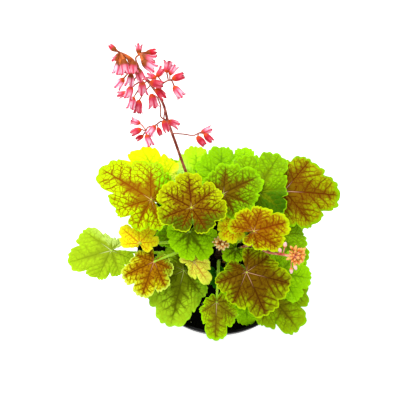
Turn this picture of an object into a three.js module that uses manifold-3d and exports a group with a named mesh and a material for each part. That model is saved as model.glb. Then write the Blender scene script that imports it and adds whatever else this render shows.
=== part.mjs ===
// A heuchera (coral bells) growing in a round nursery pot: lobed leaves on long petioles round a short
// woody crown, one open flower stalk hung with bells, and two young stalks still in bud.
//
// Millimetres, +Z up. The origin is the middle of the pot's underside. The plant is built in a group of
// its own whose origin is the middle of the soil's surface, so a height in its tables is a height above
// the soil. Angles are in degrees, counted anticlockwise from +X as seen from above.
import * as THREE from "three";
import { mergeVertices } from "three/addons/utils/BufferGeometryUtils.js";
import Module from "manifold-3d";

const wasm = await Module();
wasm.setup();

// ---- Driving dimensions ----

const RIM_RADIUS = 70;
const POT_HEIGHT = 107;
const LIP_HEIGHT = 17;
const LIP_STEP = 5; // how far the lip stands out from the wall below it
const LIP_TAPER = 1.5; // how much narrower the lip is at its foot than at the rim
const LIP_SLOPE = 2.5; // height of the slope from the wall out to the lip
const FOOT_RADIUS = 49;
const FOOT_CHAMFER = 1;
const RIM_CHAMFER = 0.6;
const POT_WALL = 1.6;
const POT_FLOOR = 2.5;
const POT_SIDES = 36;
const DRAIN_HOLES = 6;
const DRAIN_RADIUS = 4;
const DRAIN_CIRCLE = 31;
const DRAIN_SIDES = 8;

const SOIL_HEIGHT = 94; // from the pot's underside to the soil's surface
const SOIL_GAP = 0.5; // between the soil and the pot
const SOIL_RELIEF = 1.4;
const SOIL_SINK = 0.6; // the share of that relief that lies below the surface's mean height
const SOIL_RINGS = [50, 31]; // radii at which the surface heaves
const SOIL_SIDES = 24;

const CROWN_RADIUS = 4.4;
const CROWN_HEIGHT = 9;
const CROWN_SIDES = 8;
const CROWN_GAP = 0.6; // round the crown, in the soil
const CROWN_STRAIGHT = 1; // height above the soil up to which its side stands straight
// Radius and height, as shares of the crown's own, where it narrows and where it ends.
const CROWN_NECK = [0.85, 0.6];
const CROWN_TOP = [0.5, 1];

const HOLE_DEPTH = 6;
const HOLE_RADIUS = 2.5;
const HOLE_SIDES = 5;
const STEM_DEPTH = 5.5; // how deep a stem stands in its hole
const STEM_COLLAR = 1; // height above the soil up to which a petiole rises straight

const BLADE_THICKNESS = 0.9;
const LOBES = 7;
const LOBE_CUT = 0.16; // depth of the notch between two lobes, as a share of the reach there
const TEETH_PER_LOBE = 3;
const TOOTH_HEIGHT = 0.025;
const INNER_ROW = 0.5; // where the blade's inner row of points lies, as a share of the reach
// A blade's own heights, as shares of its longest reach.
const ARCH = 0.1;
const PLEAT = 0.035;
const WAVE = 0.04;
const WAVE_TURNS = 2.5; // waves of the margin in one turn round the hub

const PETIOLE_TOP_RADIUS = 1.15;
const PETIOLE_FOOT_RADIUS = 1.5;
const PETIOLE_STEPS = 4;
const PETIOLE_RISE = 0.45; // how far it heads straight up first, as a share of its height
const PETIOLE_LIFT = 0.35; // how steeply it comes up to the blade
const PETIOLE_REACH = 0.35; // how long it keeps that course, as a share of its length
const STEM_SIDES = 5;
const STEM_STEPS = 2; // rings of a stem for each span of its table
const STEM_SEARCH = 40; // places along a stem that are tried for the foot of a flower's own stem

const STALK_FOOT_RADIUS = 1.4;
const STALK_TIP_RADIUS = 0.6;
const BRANCH_RADIUS = 0.55;
const PEDICEL_RADIUS = 0.45;
const PEDICEL_SIDES = 3;
const BELL_SIDES = 5;
// Radius and height, as shares of the bell's length: its top, its shoulder, the tips of its teeth and
// the notches between them. Its hollow runs up to a height of its own.
const BELL_TOP = [0.12, -0.06];
const BELL_SHOULDER = [0.27, 0.35];
const BELL_TOOTH = [0.31, 1];
const BELL_NOTCH = [0.25, 0.8];
const BELL_HOLLOW = 0.35;

const YOUNG_FOOT_RADIUS = 1.3;
const YOUNG_TIP_RADIUS = 0.9;
const BUD_LENGTH = 3.6;
const BUD_SIDES = 4;
const BUD_FOOT = [0.14, -0.1]; // radius and height, as shares of the bud's length
const BUD_WAIST = [0.36, 0.4];
const HEAD_FILL = 0.62; // how far out in the head its buds start
const HEAD_CAP = 1.5; // how far down the head they go on, where 2 is all the way
const BUD_STEMS = [0.99, 0.06]; // where along the stem the first starts, and how far down the rest go on

const CUT_PAST = 1; // how far a cutting shape runs past what it cuts
const SAME_PLACE = 1e-4; // points nearer than this are one

// ---- The plant's tables ----

// A leaf's hub is where its petiole meets the blade, heading is the way its tip points and dip is how
// far the tip points down. Spread is the angle between two of its seven lobes, and lobes are their
// reaches from the hub: from the one right of the sinus, round the tip, to the one left of the sinus.
// The foot is the petiole's place in the soil: its distance from the crown's middle, and its bearing.
const LEAVES = [
  { tone: "veined", hub: [-22, 8, 102], heading: 95, dip: 8, spread: 50.5, foot: [17, 165],
    lobes: [21, 26, 27, 32, 29, 25, 19] },
  { tone: "veined", hub: [24, -7, 92], heading: 22, dip: 14, spread: 48, foot: [9, 10],
    lobes: [11, 14, 24, 32, 23, 20, 19] },
  { tone: "veined", hub: [-53, 20, 86], heading: 143, dip: 8, spread: 48, foot: [24, 160],
    lobes: [18, 24, 37, 54, 29, 24, 23] },
  { tone: "veined", hub: [2, 25, 86], heading: 35, dip: 14, spread: 48, foot: [10, 88],
    lobes: [16, 21, 26, 39, 29, 20, 15] },
  { tone: "ripe", hub: [19, -34, 76], heading: -62, dip: 22, spread: 48, foot: [12, -60],
    lobes: [14, 24, 26, 38, 37, 22, 18] },
  { tone: "ripe", hub: [52, 39, 54], heading: 3, dip: 12, spread: 48, foot: [22, 33],
    lobes: [20, 28, 36, 51, 41, 27, 18] },
  { tone: "green", hub: [29, 33, 70], heading: 62, dip: 12, spread: 48, foot: [16, 50],
    lobes: [18, 26, 25, 46, 37, 24, 18] },
  { tone: "green", hub: [-24, -1, 72], heading: -98, dip: 20, spread: 42, foot: [10, 196],
    lobes: [15, 18, 19, 22, 25, 22, 18] },
  { tone: "ripe", hub: [-52, -20, 54], heading: -112, dip: 16, spread: 44, foot: [19, -162],
    lobes: [13, 17, 29, 30, 23, 16, 11], rise: 1.2, lift: -0.8 },
  { tone: "green", hub: [-29, -24, 42], heading: -105, dip: 22, spread: 48, foot: [21, -141],
    lobes: [22, 26, 37, 48, 27, 16, 10] },
  { tone: "green", hub: [-3, -50, 42], heading: -92, dip: 34, spread: 48, foot: [8, -95],
    lobes: [7, 9, 17, 34, 22, 14, 9], rise: 0.9, lift: -0.5 },
  { tone: "green", hub: [-88, -7, 40], heading: -168, dip: 10, spread: 48, foot: [23, -178],
    lobes: [12, 12, 33, 38, 25, 20, 19] },
  { tone: "green", hub: [37, -42, 44], heading: -45, dip: 22, spread: 48, foot: [20, -30],
    lobes: [13, 17, 27, 43, 36, 20, 13] },
  { tone: "yellow", hub: [-46, 38, 72], heading: 117, dip: 8, spread: 46, foot: [16, 138],
    lobes: [14, 14, 26, 41, 48, 21, 14] },
  { tone: "yellow", hub: [-63, -8, 64], heading: 95, dip: -10, spread: 44, foot: [15, -176],
    lobes: [10, 15, 17, 15, 20, 15, 4], rise: 0.9, lift: -0.5 },
  { tone: "yellow", hub: [-21, -21, 58], heading: -52, dip: 10, spread: 46, foot: [14, -140],
    lobes: [11, 6, 12, 21, 13, 7, 5] },
  { tone: "yellow", hub: [10, 0, 82], heading: -142, dip: 10, spread: 44, foot: [9, 36],
    lobes: [8, 11, 13, 14, 13, 11, 9] },
  { tone: "green", hub: [-19, 51, 54], heading: 92, dip: 12, spread: 44, foot: [18, 112],
    lobes: [12, 16, 24, 35, 24, 16, 12] },
  { tone: "green", hub: [1, 47, 60], heading: 89, dip: 12, spread: 46, foot: [17, 88],
    lobes: [13, 18, 26, 37, 27, 18, 13] },
  { tone: "green", hub: [19, 57, 50], heading: 84, dip: 14, spread: 46, foot: [22, 60],
    lobes: [12, 16, 22, 30, 22, 16, 12] },
  { tone: "green", hub: [45, -30, 54], heading: -1, dip: 18, spread: 46, foot: [24, -14],
    lobes: [13, 18, 26, 30, 26, 18, 13] },
  { tone: "green", hub: [43, 4, 48], heading: 10, dip: 18, spread: 48, foot: [18, 6],
    lobes: [14, 28, 36, 29, 24, 18, 13] },
  { tone: "green", hub: [20, -38, 28], heading: -83, dip: 28, spread: 46, foot: [22, -66],
    lobes: [9, 13, 22, 30, 20, 10, 7] },
  { tone: "green", hub: [-3, -20, 22], heading: -85, dip: 20, spread: 42, foot: [14, -80],
    lobes: [6, 8, 11, 15, 11, 8, 6] },
  { tone: "green", hub: [-33, 46, 46], heading: 95, dip: 16, spread: 44, foot: [23, 130],
    lobes: [10, 14, 19, 27, 19, 14, 10] },
  { tone: "green", hub: [-3, 54, 30], heading: 86, dip: 20, spread: 46, foot: [24, 84],
    lobes: [14, 19, 26, 33, 26, 19, 14] },
  { tone: "green", hub: [-42, 55, 34], heading: 126, dip: 20, spread: 46, foot: [24, 118],
    lobes: [14, 19, 26, 32, 26, 19, 14] },
  { tone: "green", hub: [44, 50, 36], heading: 50, dip: 20, spread: 46, foot: [25, 44],
    lobes: [14, 19, 26, 32, 26, 19, 14] },
  { tone: "green", hub: [12, -11, 60], heading: -140, dip: 8, spread: 42, foot: [16, -40],
    lobes: [6, 8, 11, 13, 13, 10, 8] },
  { tone: "green", hub: [-40, 2, 50], heading: 172, dip: 10, spread: 44, foot: [26, 171],
    lobes: [7, 9, 11, 13, 11, 9, 7] },
];

// The open flower stalk, then its branches, each with its bells. A bell hangs from the nearest point of
// its branch: at is the top of the bell, facing is the way its mouth looks, and nod is how far it
// looks down.
const FLOWER_STALK = [
  {
    // the stalk itself
    points: [[-7, 3, -5.5], [-8, 6, 18], [-13, 19, 50], [-26, 40, 88], [-33, 47, 131], [-37, 51, 156],
      [-39, 52, 181], [-44, 51, 204], [-49, 50, 222], [-53, 49, 240], [-59, 44, 256]],
    radius: STALK_FOOT_RADIUS,
    tipRadius: STALK_TIP_RADIUS,
    bells: [
      { at: [-60, 44, 257], facing: 133, nod: 10, length: 5 },
      { at: [-59, 49, 245], facing: -155, nod: 50, length: 6 },
      { at: [-59, 43, 247], facing: -107, nod: 32, length: 7.5 },
      { at: [-56, 41, 252], facing: -80, nod: 36, length: 8 },
      { at: [-51, 41, 251], facing: -87, nod: 36, length: 7 },
      { at: [-49, 40, 244], facing: -66, nod: 30, length: 8 },
      { at: [-59, 43, 228], facing: -141, nod: 36, length: 7 },
      { at: [-53, 39, 240], facing: -106, nod: 42, length: 7 },
      { at: [-59, 43, 211], facing: 177, nod: 30, length: 6 },
      { at: [-55, 41, 222], facing: -113, nod: 30, length: 7.5 },
      { at: [-55, 41, 209], facing: -107, nod: 28, length: 7.5 },
      { at: [-52, 41, 205], facing: -96, nod: 27, length: 8 },
      { at: [-48, 41, 228], facing: -87, nod: 34, length: 8 },
      { at: [-44, 47, 217], facing: -8, nod: 12, length: 8 },
      { at: [-42, 55, 208], facing: 144, nod: 20, length: 6 },
      { at: [-36, 47, 165], facing: -19, nod: 13, length: 8 },
      { at: [-39, 44, 171], facing: -67, nod: 26, length: 8 },
    ],
  },
  {
    // a short spray at the top
    points: [[-50, 50, 228], [-51, 51, 238], [-48, 51, 242]],
    bells: [
      { at: [-49, 52, 241], facing: 92, nod: 0, length: 5.5 },
      { at: [-45, 54, 238], facing: 18, nod: 9, length: 6 },
      { at: [-47, 47, 245], facing: -10, nod: 13, length: 8.5 },
      { at: [-46, 43, 247], facing: -26, nod: 25, length: 8.5 },
    ],
  },
  {
    // a longer spray on the right
    points: [[-41, 52, 192], [-38, 53, 204], [-35, 53, 208], [-32, 52, 211]],
    bells: [
      { at: [-41, 57, 207], facing: 56, nod: -3, length: 6.5 },
      { at: [-35, 57, 212], facing: 78, nod: -29, length: 7 },
      { at: [-33, 56, 211], facing: 58, nod: -15, length: 6.5 },
      { at: [-31, 51, 214], facing: 20, nod: -2, length: 7.5 },
      { at: [-30, 45, 215], facing: -47, nod: 29, length: 8 },
      { at: [-41, 45, 212], facing: -39, nod: 27, length: 8 },
    ],
  },
  {
    // a second stem beside the stalk, with one large bell
    points: [[-37, 51, 158], [-41, 49, 167], [-40, 47, 187], [-41, 45, 202]],
    bells: [{ at: [-44, 43, 209], facing: -78, nod: 33, length: 8.5 }],
  },
  {
    // the low spray on the left
    points: [[-37, 51, 158], [-42, 47, 164], [-45, 45, 163], [-50, 44, 162], [-52, 42, 159]],
    bells: [
      { at: [-56, 49, 158], facing: 166, nod: -10, length: 6.5 },
      { at: [-55, 43, 161], facing: -158, nod: 10, length: 7.5 },
      { at: [-54, 41, 155], facing: -155, nod: 16, length: 5.5 },
      { at: [-51, 39, 160], facing: -65, nod: 30, length: 8 },
      { at: [-45, 42, 168], facing: -129, nod: 23, length: 7.5 },
      { at: [-43, 42, 165], facing: -67, nod: 30, length: 5.5 },
    ],
  },
  {
    // the low branch on the right
    points: [[-35, 49, 142], [-27, 48, 143], [-20, 47, 143], [-16, 47, 147]],
    bells: [
      { at: [-14, 47, 148], facing: 20, nod: -4, length: 7.5 },
      { at: [-17, 42, 151], facing: -44, nod: 24, length: 8 },
      { at: [-12, 44, 151], facing: -41, nod: 20, length: 7.5 },
    ],
  },
];

// Young stalks: a bent stem that ends in a tight head of buds, and a few buds that stand apart from it.
// Spread is the head's half size.
const YOUNG_STALKS = [
  {
    name: "young_stalk_1",
    points: [[11, -5, -5.5], [12, -5, 20], [18, -7, 50], [26, -12, 73], [36, -17, 80], [45, -20, 82],
      [52, -23, 84]],
    head: [56, -24, 86],
    spread: [8, 8, 6],
    buds: 11,
    apart: [[44, -21, 86], [47, -18, 87], [52, -32, 82], [54, -30, 84]],
  },
  {
    name: "young_stalk_2",
    points: [[4, -6, -5.5], [4, -7, 20], [2, -8, 44], [0, -9, 62]],
    head: [1, -9, 69],
    spread: [8, 6, 6],
    buds: 8,
    apart: [],
  },
];

// ---- Finishes ----

const POT_FINISH = { color: 0x14141a, roughness: 0.5 };
const SOIL_FINISH = { color: 0x1d1712, roughness: 0.95 };
const CROWN_FINISH = { color: 0x5b3d28, roughness: 0.9 };
const FLOWER_FINISH = { color: 0xe05a63, roughness: 0.6 };
const BUD_FINISH = { color: 0xe07f50, roughness: 0.6 };
const LEAF_FINISHES = {
  veined: { color: 0x9a9a2c, roughness: 0.55 },
  ripe: { color: 0x8d6a2c, roughness: 0.55 },
  green: { color: 0x7fb02a, roughness: 0.55 },
  yellow: { color: 0xe3dc3a, roughness: 0.55 },
};

// ---- Helpers ----

const rad = THREE.MathUtils.degToRad;
const lerp = THREE.MathUtils.lerp;
const vec = (p) => new THREE.Vector3(...p);
const up = (height) => new THREE.Vector3(0, 0, height);

// A repeatable draw from 0 to 1 for a whole number.
function draw(n) {
  const s = Math.sin(n * 12.9898 + 4.1414) * 43758.5453;
  return s - Math.floor(s);
}

// A closed mesh from its corners and triangles, turned so that its faces point out.
function closedGeometry(points, triangles) {
  let volume = 0;
  for (const [a, b, c] of triangles) {
    const cross = new THREE.Vector3().crossVectors(points[b], points[c]);
    volume += points[a].dot(cross);
  }
  const faces = volume < 0 ? triangles.map(([a, b, c]) => [a, c, b]) : triangles;
  return new THREE.BufferGeometry().setFromPoints(points).setIndex(faces.flat());
}

// A copy of a geometry that holds only its places, with those that coincide made one.
function bareGeometry(geometry) {
  const bare = geometry.clone();
  bare.deleteAttribute("normal");
  bare.deleteAttribute("uv");
  return mergeVertices(bare, SAME_PLACE);
}

function solidOf(geometry) {
  const { attributes, index } = bareGeometry(geometry);
  return new wasm.Manifold(
    new wasm.Mesh({
      numProp: 3,
      vertProperties: new Float32Array(attributes.position.array),
      triVerts: new Uint32Array(index.array),
    }),
  );
}

function geometryOf(solid) {
  const { vertProperties, triVerts } = solid.getMesh();
  const geometry = new THREE.BufferGeometry();
  geometry.setAttribute("position", new THREE.BufferAttribute(vertProperties, 3));
  geometry.setIndex(new THREE.BufferAttribute(triVerts, 1));
  geometry.computeVertexNormals();
  return geometry;
}

const fused = (geometries) =>
  geometryOf(geometries.map(solidOf).reduce((whole, piece) => whole.add(piece)));

function meshOf(name, geometry, finish) {
  const mesh = new THREE.Mesh(geometry, new THREE.MeshStandardMaterial({ ...finish, metalness: 0 }));
  mesh.name = name;
  return mesh;
}

// Joins rings of points into one closed skin: a strip between each two rings and a fan over each end.
function skin(rings) {
  const sides = rings[0].length;
  const triangles = [];
  for (let i = 0; i + 1 < rings.length; i++)
    for (let k = 0; k < sides; k++) {
      const here = i * sides + k;
      const next = i * sides + ((k + 1) % sides);
      triangles.push([here, next, here + sides], [next, next + sides, here + sides]);
    }
  const last = (rings.length - 1) * sides;
  for (let k = 1; k + 1 < sides; k++) {
    triangles.push([0, k + 1, k]);
    triangles.push([last, last + k, last + k + 1]);
  }
  return closedGeometry(rings.flat(), triangles);
}

// A round stem through a list of points, with its own radius at each end.
function stem(points, footRadius, tipRadius, sides) {
  const last = points.length - 1;
  const turn = new THREE.Quaternion();
  const across = new THREE.Vector3(1, 0, 0);
  let before = up(1);
  const rings = points.map((middle, i) => {
    const along = points[Math.min(i + 1, last)].clone().sub(points[Math.max(i - 1, 0)]).normalize();
    across.applyQuaternion(turn.setFromUnitVectors(before, along));
    before = along;
    const radius = lerp(footRadius, tipRadius, i / last);
    return Array.from({ length: sides }, (_, k) =>
      across.clone().applyAxisAngle(along, (2 * Math.PI * k) / sides).multiplyScalar(radius).add(middle),
    );
  });
  return skin(rings);
}

// A smooth curve through points of a table, and the points that its stem is built on.
const curveOf = (points) => new THREE.CatmullRomCurve3(points.map(vec));
const stepsOf = (curve) => curve.getPoints(STEM_STEPS * (curve.points.length - 1));

// A profile of [radius, height] turned round +Z.
function latheOf(profile, sides) {
  const points = profile.map(([radius, height]) => new THREE.Vector2(radius, height));
  return new THREE.LatheGeometry(points, sides).rotateX(Math.PI / 2);
}

function uprightPrism(radius, bottom, top, sides, x, y) {
  return new THREE.CylinderGeometry(radius, radius, top - bottom, sides)
    .rotateX(Math.PI / 2)
    .translate(x, y, (bottom + top) / 2);
}

// ---- Pot, soil and crown ----

const LIP_FOOT = POT_HEIGHT - LIP_HEIGHT;
const LIP_FOOT_RADIUS = RIM_RADIUS - LIP_TAPER;
const WALL_TOP = LIP_FOOT - LIP_SLOPE;
const WALL_TOP_RADIUS = LIP_FOOT_RADIUS - LIP_STEP;

function pot() {
  const profile = [
    [0, 0],
    [FOOT_RADIUS - FOOT_CHAMFER, 0],
    [FOOT_RADIUS, FOOT_CHAMFER],
    [WALL_TOP_RADIUS, WALL_TOP],
    [LIP_FOOT_RADIUS, LIP_FOOT],
    [RIM_RADIUS, POT_HEIGHT - RIM_CHAMFER],
    [RIM_RADIUS - RIM_CHAMFER, POT_HEIGHT],
    [RIM_RADIUS - POT_WALL - RIM_CHAMFER, POT_HEIGHT],
    [LIP_FOOT_RADIUS - POT_WALL, LIP_FOOT + POT_WALL],
    [WALL_TOP_RADIUS - POT_WALL, WALL_TOP],
    [FOOT_RADIUS - POT_WALL, POT_FLOOR],
    [0, POT_FLOOR],
  ];
  let body = solidOf(latheOf(profile, POT_SIDES));
  const top = POT_FLOOR + CUT_PAST;
  for (let i = 0; i < DRAIN_HOLES; i++) {
    const turn = (2 * Math.PI * i) / DRAIN_HOLES;
    const x = DRAIN_CIRCLE * Math.cos(turn);
    const y = DRAIN_CIRCLE * Math.sin(turn);
    body = body.subtract(solidOf(uprightPrism(DRAIN_RADIUS, -CUT_PAST, top, DRAIN_SIDES, x, y)));
  }
  return meshOf("pot", geometryOf(body), POT_FINISH);
}

function footOf({ foot: [distance, bearing] }) {
  return new THREE.Vector3(distance * Math.cos(rad(bearing)), distance * Math.sin(rad(bearing)), -STEM_DEPTH);
}

// The soil fills the pot, heaves a little at its surface, and has a plain hole for the crown and
// for each stem. Its heights are from the soil's surface.
function soil() {
  const inset = POT_WALL + SOIL_GAP;
  const bottom = POT_FLOOR + SOIL_GAP - SOIL_HEIGHT;
  const profile = [
    [0, bottom],
    [FOOT_RADIUS - inset, bottom],
    [WALL_TOP_RADIUS - inset, WALL_TOP - SOIL_HEIGHT],
    [LIP_FOOT_RADIUS - inset, LIP_FOOT + POT_WALL + SOIL_GAP - SOIL_HEIGHT],
    [LIP_FOOT_RADIUS - inset, -SOIL_RELIEF],
    ...SOIL_RINGS.map((radius) => [radius, 0]),
    [0, 0],
  ];
  const heaved = bareGeometry(latheOf(profile, SOIL_SIDES));
  const place = heaved.attributes.position;
  for (let i = 0; i < place.count; i++) {
    const reach = Math.hypot(place.getX(i), place.getY(i));
    const onRing = SOIL_RINGS.some((radius) => Math.abs(reach - radius) < SAME_PLACE);
    if (onRing && place.getZ(i) > -SOIL_RELIEF) place.setZ(i, (draw(i) - SOIL_SINK) * SOIL_RELIEF);
  }
  const stalkFeet = [FLOWER_STALK[0], ...YOUNG_STALKS].map(({ points }) => vec(points[0]));
  const top = SOIL_RELIEF + CUT_PAST;
  let body = solidOf(heaved);
  for (const { x, y } of [...LEAVES.map(footOf), ...stalkFeet])
    body = body.subtract(solidOf(uprightPrism(HOLE_RADIUS, -HOLE_DEPTH, top, HOLE_SIDES, x, y)));
  const crownHole = uprightPrism(CROWN_RADIUS + CROWN_GAP, -HOLE_DEPTH, top, CROWN_SIDES, 0, 0);
  return meshOf("soil", geometryOf(body.subtract(solidOf(crownHole))), SOIL_FINISH);
}

// The crown is the short woody stub that every stem grows round.
function crown() {
  const profile = [
    [0, -STEM_DEPTH],
    [CROWN_RADIUS, -STEM_DEPTH],
    [CROWN_RADIUS, CROWN_STRAIGHT],
    ...[CROWN_NECK, CROWN_TOP].map(([radius, height]) => [radius * CROWN_RADIUS, height * CROWN_HEIGHT]),
    [0, CROWN_HEIGHT],
  ];
  return meshOf("crown", geometryOf(solidOf(latheOf(profile, CROWN_SIDES))), CROWN_FINISH);
}

// ---- Leaves ----

// How far the margin lies from the hub, at an angle from the tip.
function marginReach(angle, { lobes, spread }) {
  const place = THREE.MathUtils.clamp(angle / spread + (LOBES - 1) / 2, 0, LOBES - 1.001);
  const right = Math.floor(place);
  const body = lerp(lobes[right], lobes[right + 1], THREE.MathUtils.smoothstep(place - right, 0, 1));
  const turn = Math.abs(angle) / spread;
  const towardsNotch = 2 * Math.abs(turn - Math.round(turn));
  const notch = 1 - LOBE_CUT * towardsNotch ** 3;
  const tooth = 1 + TOOTH_HEIGHT * Math.cos((2 * Math.PI * angle * TEETH_PER_LOBE) / spread);
  return body * notch * tooth;
}

// The blade's own height, at an angle from the tip and a share of the way from the hub to the margin.
// Its tip and sides arch down, its veins lie in valleys, and its margin waves.
function bladeHeight(angle, share, { lobes, spread, phase }) {
  const arch = -ARCH * share ** 2;
  const pleat = -PLEAT * share * Math.cos((2 * Math.PI * angle) / spread);
  const wave = WAVE * share ** 2 * Math.sin(rad(WAVE_TURNS * angle + phase));
  return Math.max(...lobes) * (arch + pleat + wave);
}

// A thin blade: its middle skin has a row of points along the margin and a sparser row further in, and
// its two faces lie half a thickness above and below that skin, split into triangles alike.
function blade(leaf) {
  const columns = 2 * TEETH_PER_LOBE * LOBES;
  const stride = 3; // columns between two points of the inner row
  const halfSpan = (leaf.spread * LOBES) / 2;
  const middle = [new THREE.Vector3()];
  const addRow = (share, step) => {
    const start = middle.length;
    for (let c = 0; c <= columns; c += step) {
      const angle = -halfSpan + (2 * halfSpan * c) / columns;
      const reach = share * marginReach(angle, leaf);
      const height = bladeHeight(angle, share, leaf);
      middle.push(new THREE.Vector3(reach * Math.cos(rad(angle)), reach * Math.sin(rad(angle)), height));
    }
    return start;
  };
  const inner = addRow(INNER_ROW, stride);
  const outer = addRow(1, 1);
  const face = [];
  for (let c = 0; c < columns / stride; c++) {
    const near = inner + c;
    const far = outer + stride * c;
    face.push([0, near, near + 1], [near, far, far + 1], [near, far + 1, far + 2]);
    face.push([near, far + 2, near + 1], [near + 1, far + 2, far + 3]);
  }
  const margin = Array.from({ length: columns + 1 }, (_, c) => outer + c);
  const border = [0, inner, ...margin, inner + columns / stride];
  const count = middle.length;
  const half = up(BLADE_THICKNESS / 2);
  const points = [...middle.map((p) => p.clone().add(half)), ...middle.map((p) => p.clone().sub(half))];
  const triangles = [...face, ...face.map(([a, b, c]) => [a + count, c + count, b + count])];
  border.forEach((a, i) => {
    const b = border[(i + 1) % border.length];
    triangles.push([a, a + count, b], [b, a + count, b + count]);
  });
  return closedGeometry(points, triangles);
}

// A petiole rises straight out of its hole, then bends over to meet the blade from below.
function petiole({ rise = PETIOLE_RISE, lift = PETIOLE_LIFT, ...leaf }) {
  const foot = footOf(leaf);
  const ground = foot.clone().setZ(STEM_COLLAR);
  const end = vec(leaf.hub).sub(up(BLADE_THICKNESS / 2));
  const run = end.clone().sub(ground);
  const arrival = run.clone().normalize().add(up(lift)).normalize();
  const bend = new THREE.CubicBezierCurve3(
    ground,
    ground.clone().add(up(rise * run.z)),
    end.clone().addScaledVector(arrival, -PETIOLE_REACH * run.length()),
    end,
  );
  const points = [foot, ...bend.getPoints(PETIOLE_STEPS)];
  return stem(points, PETIOLE_FOOT_RADIUS, PETIOLE_TOP_RADIUS, STEM_SIDES);
}

function leaf(row, index) {
  const name = "leaf_" + String(index + 1).padStart(2, "0");
  const shape = { ...row, phase: 360 * draw(index) };
  const placing = new THREE.Matrix4()
    .makeRotationFromEuler(new THREE.Euler(0, rad(row.dip), rad(row.heading), "ZYX"))
    .setPosition(...row.hub);
  const whole = fused([blade(shape).applyMatrix4(placing), petiole(row)]);
  return meshOf(name, whole, LEAF_FINISHES[row.tone]);
}

// ---- Flowers ----

// A ring of points round +Z that take turns at its places, each a radius and a height in shares of size.
function ring(count, size, ...places) {
  return Array.from({ length: count }, (_, k) => {
    const angle = (2 * Math.PI * k) / count;
    const [radius, height] = places[k % places.length];
    const point = new THREE.Vector3(radius * Math.cos(angle), radius * Math.sin(angle), height);
    return point.multiplyScalar(size);
  });
}

// The fan that closes a ring of points that come first in a list.
const endCap = (sides) => Array.from({ length: sides - 2 }, (_, k) => [0, k + 2, k + 1]);

// A bell that opens along +Z from its top at the origin: five sides that end in five teeth, and a
// hollow that runs up inside to a point.
function bell(length) {
  const top = ring(BELL_SIDES, length, BELL_TOP);
  const shoulder = ring(BELL_SIDES, length, BELL_SHOULDER);
  const mouth = ring(2 * BELL_SIDES, length, BELL_TOOTH, BELL_NOTCH);
  const points = [...top, ...shoulder, ...mouth, up(BELL_HOLLOW * length)];
  const triangles = endCap(BELL_SIDES);
  const apex = points.length - 1;
  for (let k = 0; k < BELL_SIDES; k++) {
    const next = (k + 1) % BELL_SIDES;
    const side = BELL_SIDES + k;
    const nextSide = BELL_SIDES + next;
    const tooth = 2 * side;
    const notch = tooth + 1;
    const nextTooth = 2 * nextSide;
    triangles.push([k, next, side], [next, nextSide, side]);
    triangles.push([side, notch, tooth], [side, nextSide, notch], [nextSide, nextTooth, notch]);
    triangles.push([tooth, notch, apex], [notch, nextTooth, apex]);
  }
  return closedGeometry(points, triangles);
}

// Turns a shape that points along +Z to point along a way, and sets it at a place.
function placed(geometry, way, place) {
  return geometry.applyQuaternion(new THREE.Quaternion().setFromUnitVectors(up(1), way)).translate(...place);
}

function placedBell({ at, facing, nod, length }) {
  const mouth = new THREE.Vector3(Math.cos(rad(nod)), 0, -Math.sin(rad(nod)));
  return placed(bell(length), mouth.applyAxisAngle(up(1), rad(facing)), at);
}

function nearestOn(curve, place) {
  const nearer = (best, point) => (point.distanceTo(place) < best.distanceTo(place) ? point : best);
  return curve.getSpacedPoints(STEM_SEARCH).reduce(nearer);
}

const pedicel = (from, to) => stem([from, to], PEDICEL_RADIUS, PEDICEL_RADIUS, PEDICEL_SIDES);

function flowerStalk() {
  const pieces = [];
  for (const { points, radius = BRANCH_RADIUS, tipRadius = BRANCH_RADIUS, bells } of FLOWER_STALK) {
    const curve = curveOf(points);
    pieces.push(stem(stepsOf(curve), radius, tipRadius, STEM_SIDES));
    for (const flower of bells) {
      const top = vec(flower.at);
      pieces.push(pedicel(nearestOn(curve, top), top), placedBell(flower));
    }
  }
  return meshOf("flower_stalk", fused(pieces), FLOWER_FINISH);
}

// A closed bud that points along +Z, with its foot at the origin.
function bud(length) {
  const foot = ring(BUD_SIDES, length, BUD_FOOT);
  const waist = ring(BUD_SIDES, length, BUD_WAIST);
  const points = [...foot, ...waist, up(length)];
  const triangles = endCap(BUD_SIDES);
  const apex = points.length - 1;
  for (let k = 0; k < BUD_SIDES; k++) {
    const next = (k + 1) % BUD_SIDES;
    const side = BUD_SIDES + k;
    const nextSide = BUD_SIDES + next;
    triangles.push([k, next, side], [next, nextSide, side], [side, nextSide, apex]);
  }
  return closedGeometry(points, triangles);
}

// The head's buds spiral down from its top, each on a stem of its own.
function youngStalk({ name, points, head, spread, buds, apart }) {
  const curve = curveOf(points);
  const pieces = [stem(stepsOf(curve), YOUNG_FOOT_RADIUS, YOUNG_TIP_RADIUS, STEM_SIDES)];
  const golden = Math.PI * (3 - Math.sqrt(5));
  const [firstStem, stemsRange] = BUD_STEMS;
  for (let i = 0; i < buds; i++) {
    const high = 1 - (HEAD_CAP * (i + 0.5)) / buds;
    const wide = Math.sqrt(1 - high * high);
    const way = new THREE.Vector3(wide * Math.cos(golden * i), wide * Math.sin(golden * i), high);
    const place = way.clone().multiply(vec(spread)).multiplyScalar(HEAD_FILL).add(vec(head));
    const start = curve.getPointAt(firstStem - (stemsRange * i) / buds);
    pieces.push(pedicel(start, place), placed(bud(BUD_LENGTH), way, place));
  }
  for (const place of apart.map(vec)) {
    const start = nearestOn(curve, place);
    const way = place.clone().sub(start).normalize();
    pieces.push(pedicel(start, place), placed(bud(BUD_LENGTH), way, place));
  }
  return meshOf(name, fused(pieces), BUD_FINISH);
}

// ---- The whole part ----

const plant = new THREE.Group();
plant.position.z = SOIL_HEIGHT;
plant.add(soil(), crown(), ...LEAVES.map(leaf), flowerStalk(), ...YOUNG_STALKS.map(youngStalk));

const part = new THREE.Group();
part.add(pot(), plant);

export default part;
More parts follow.
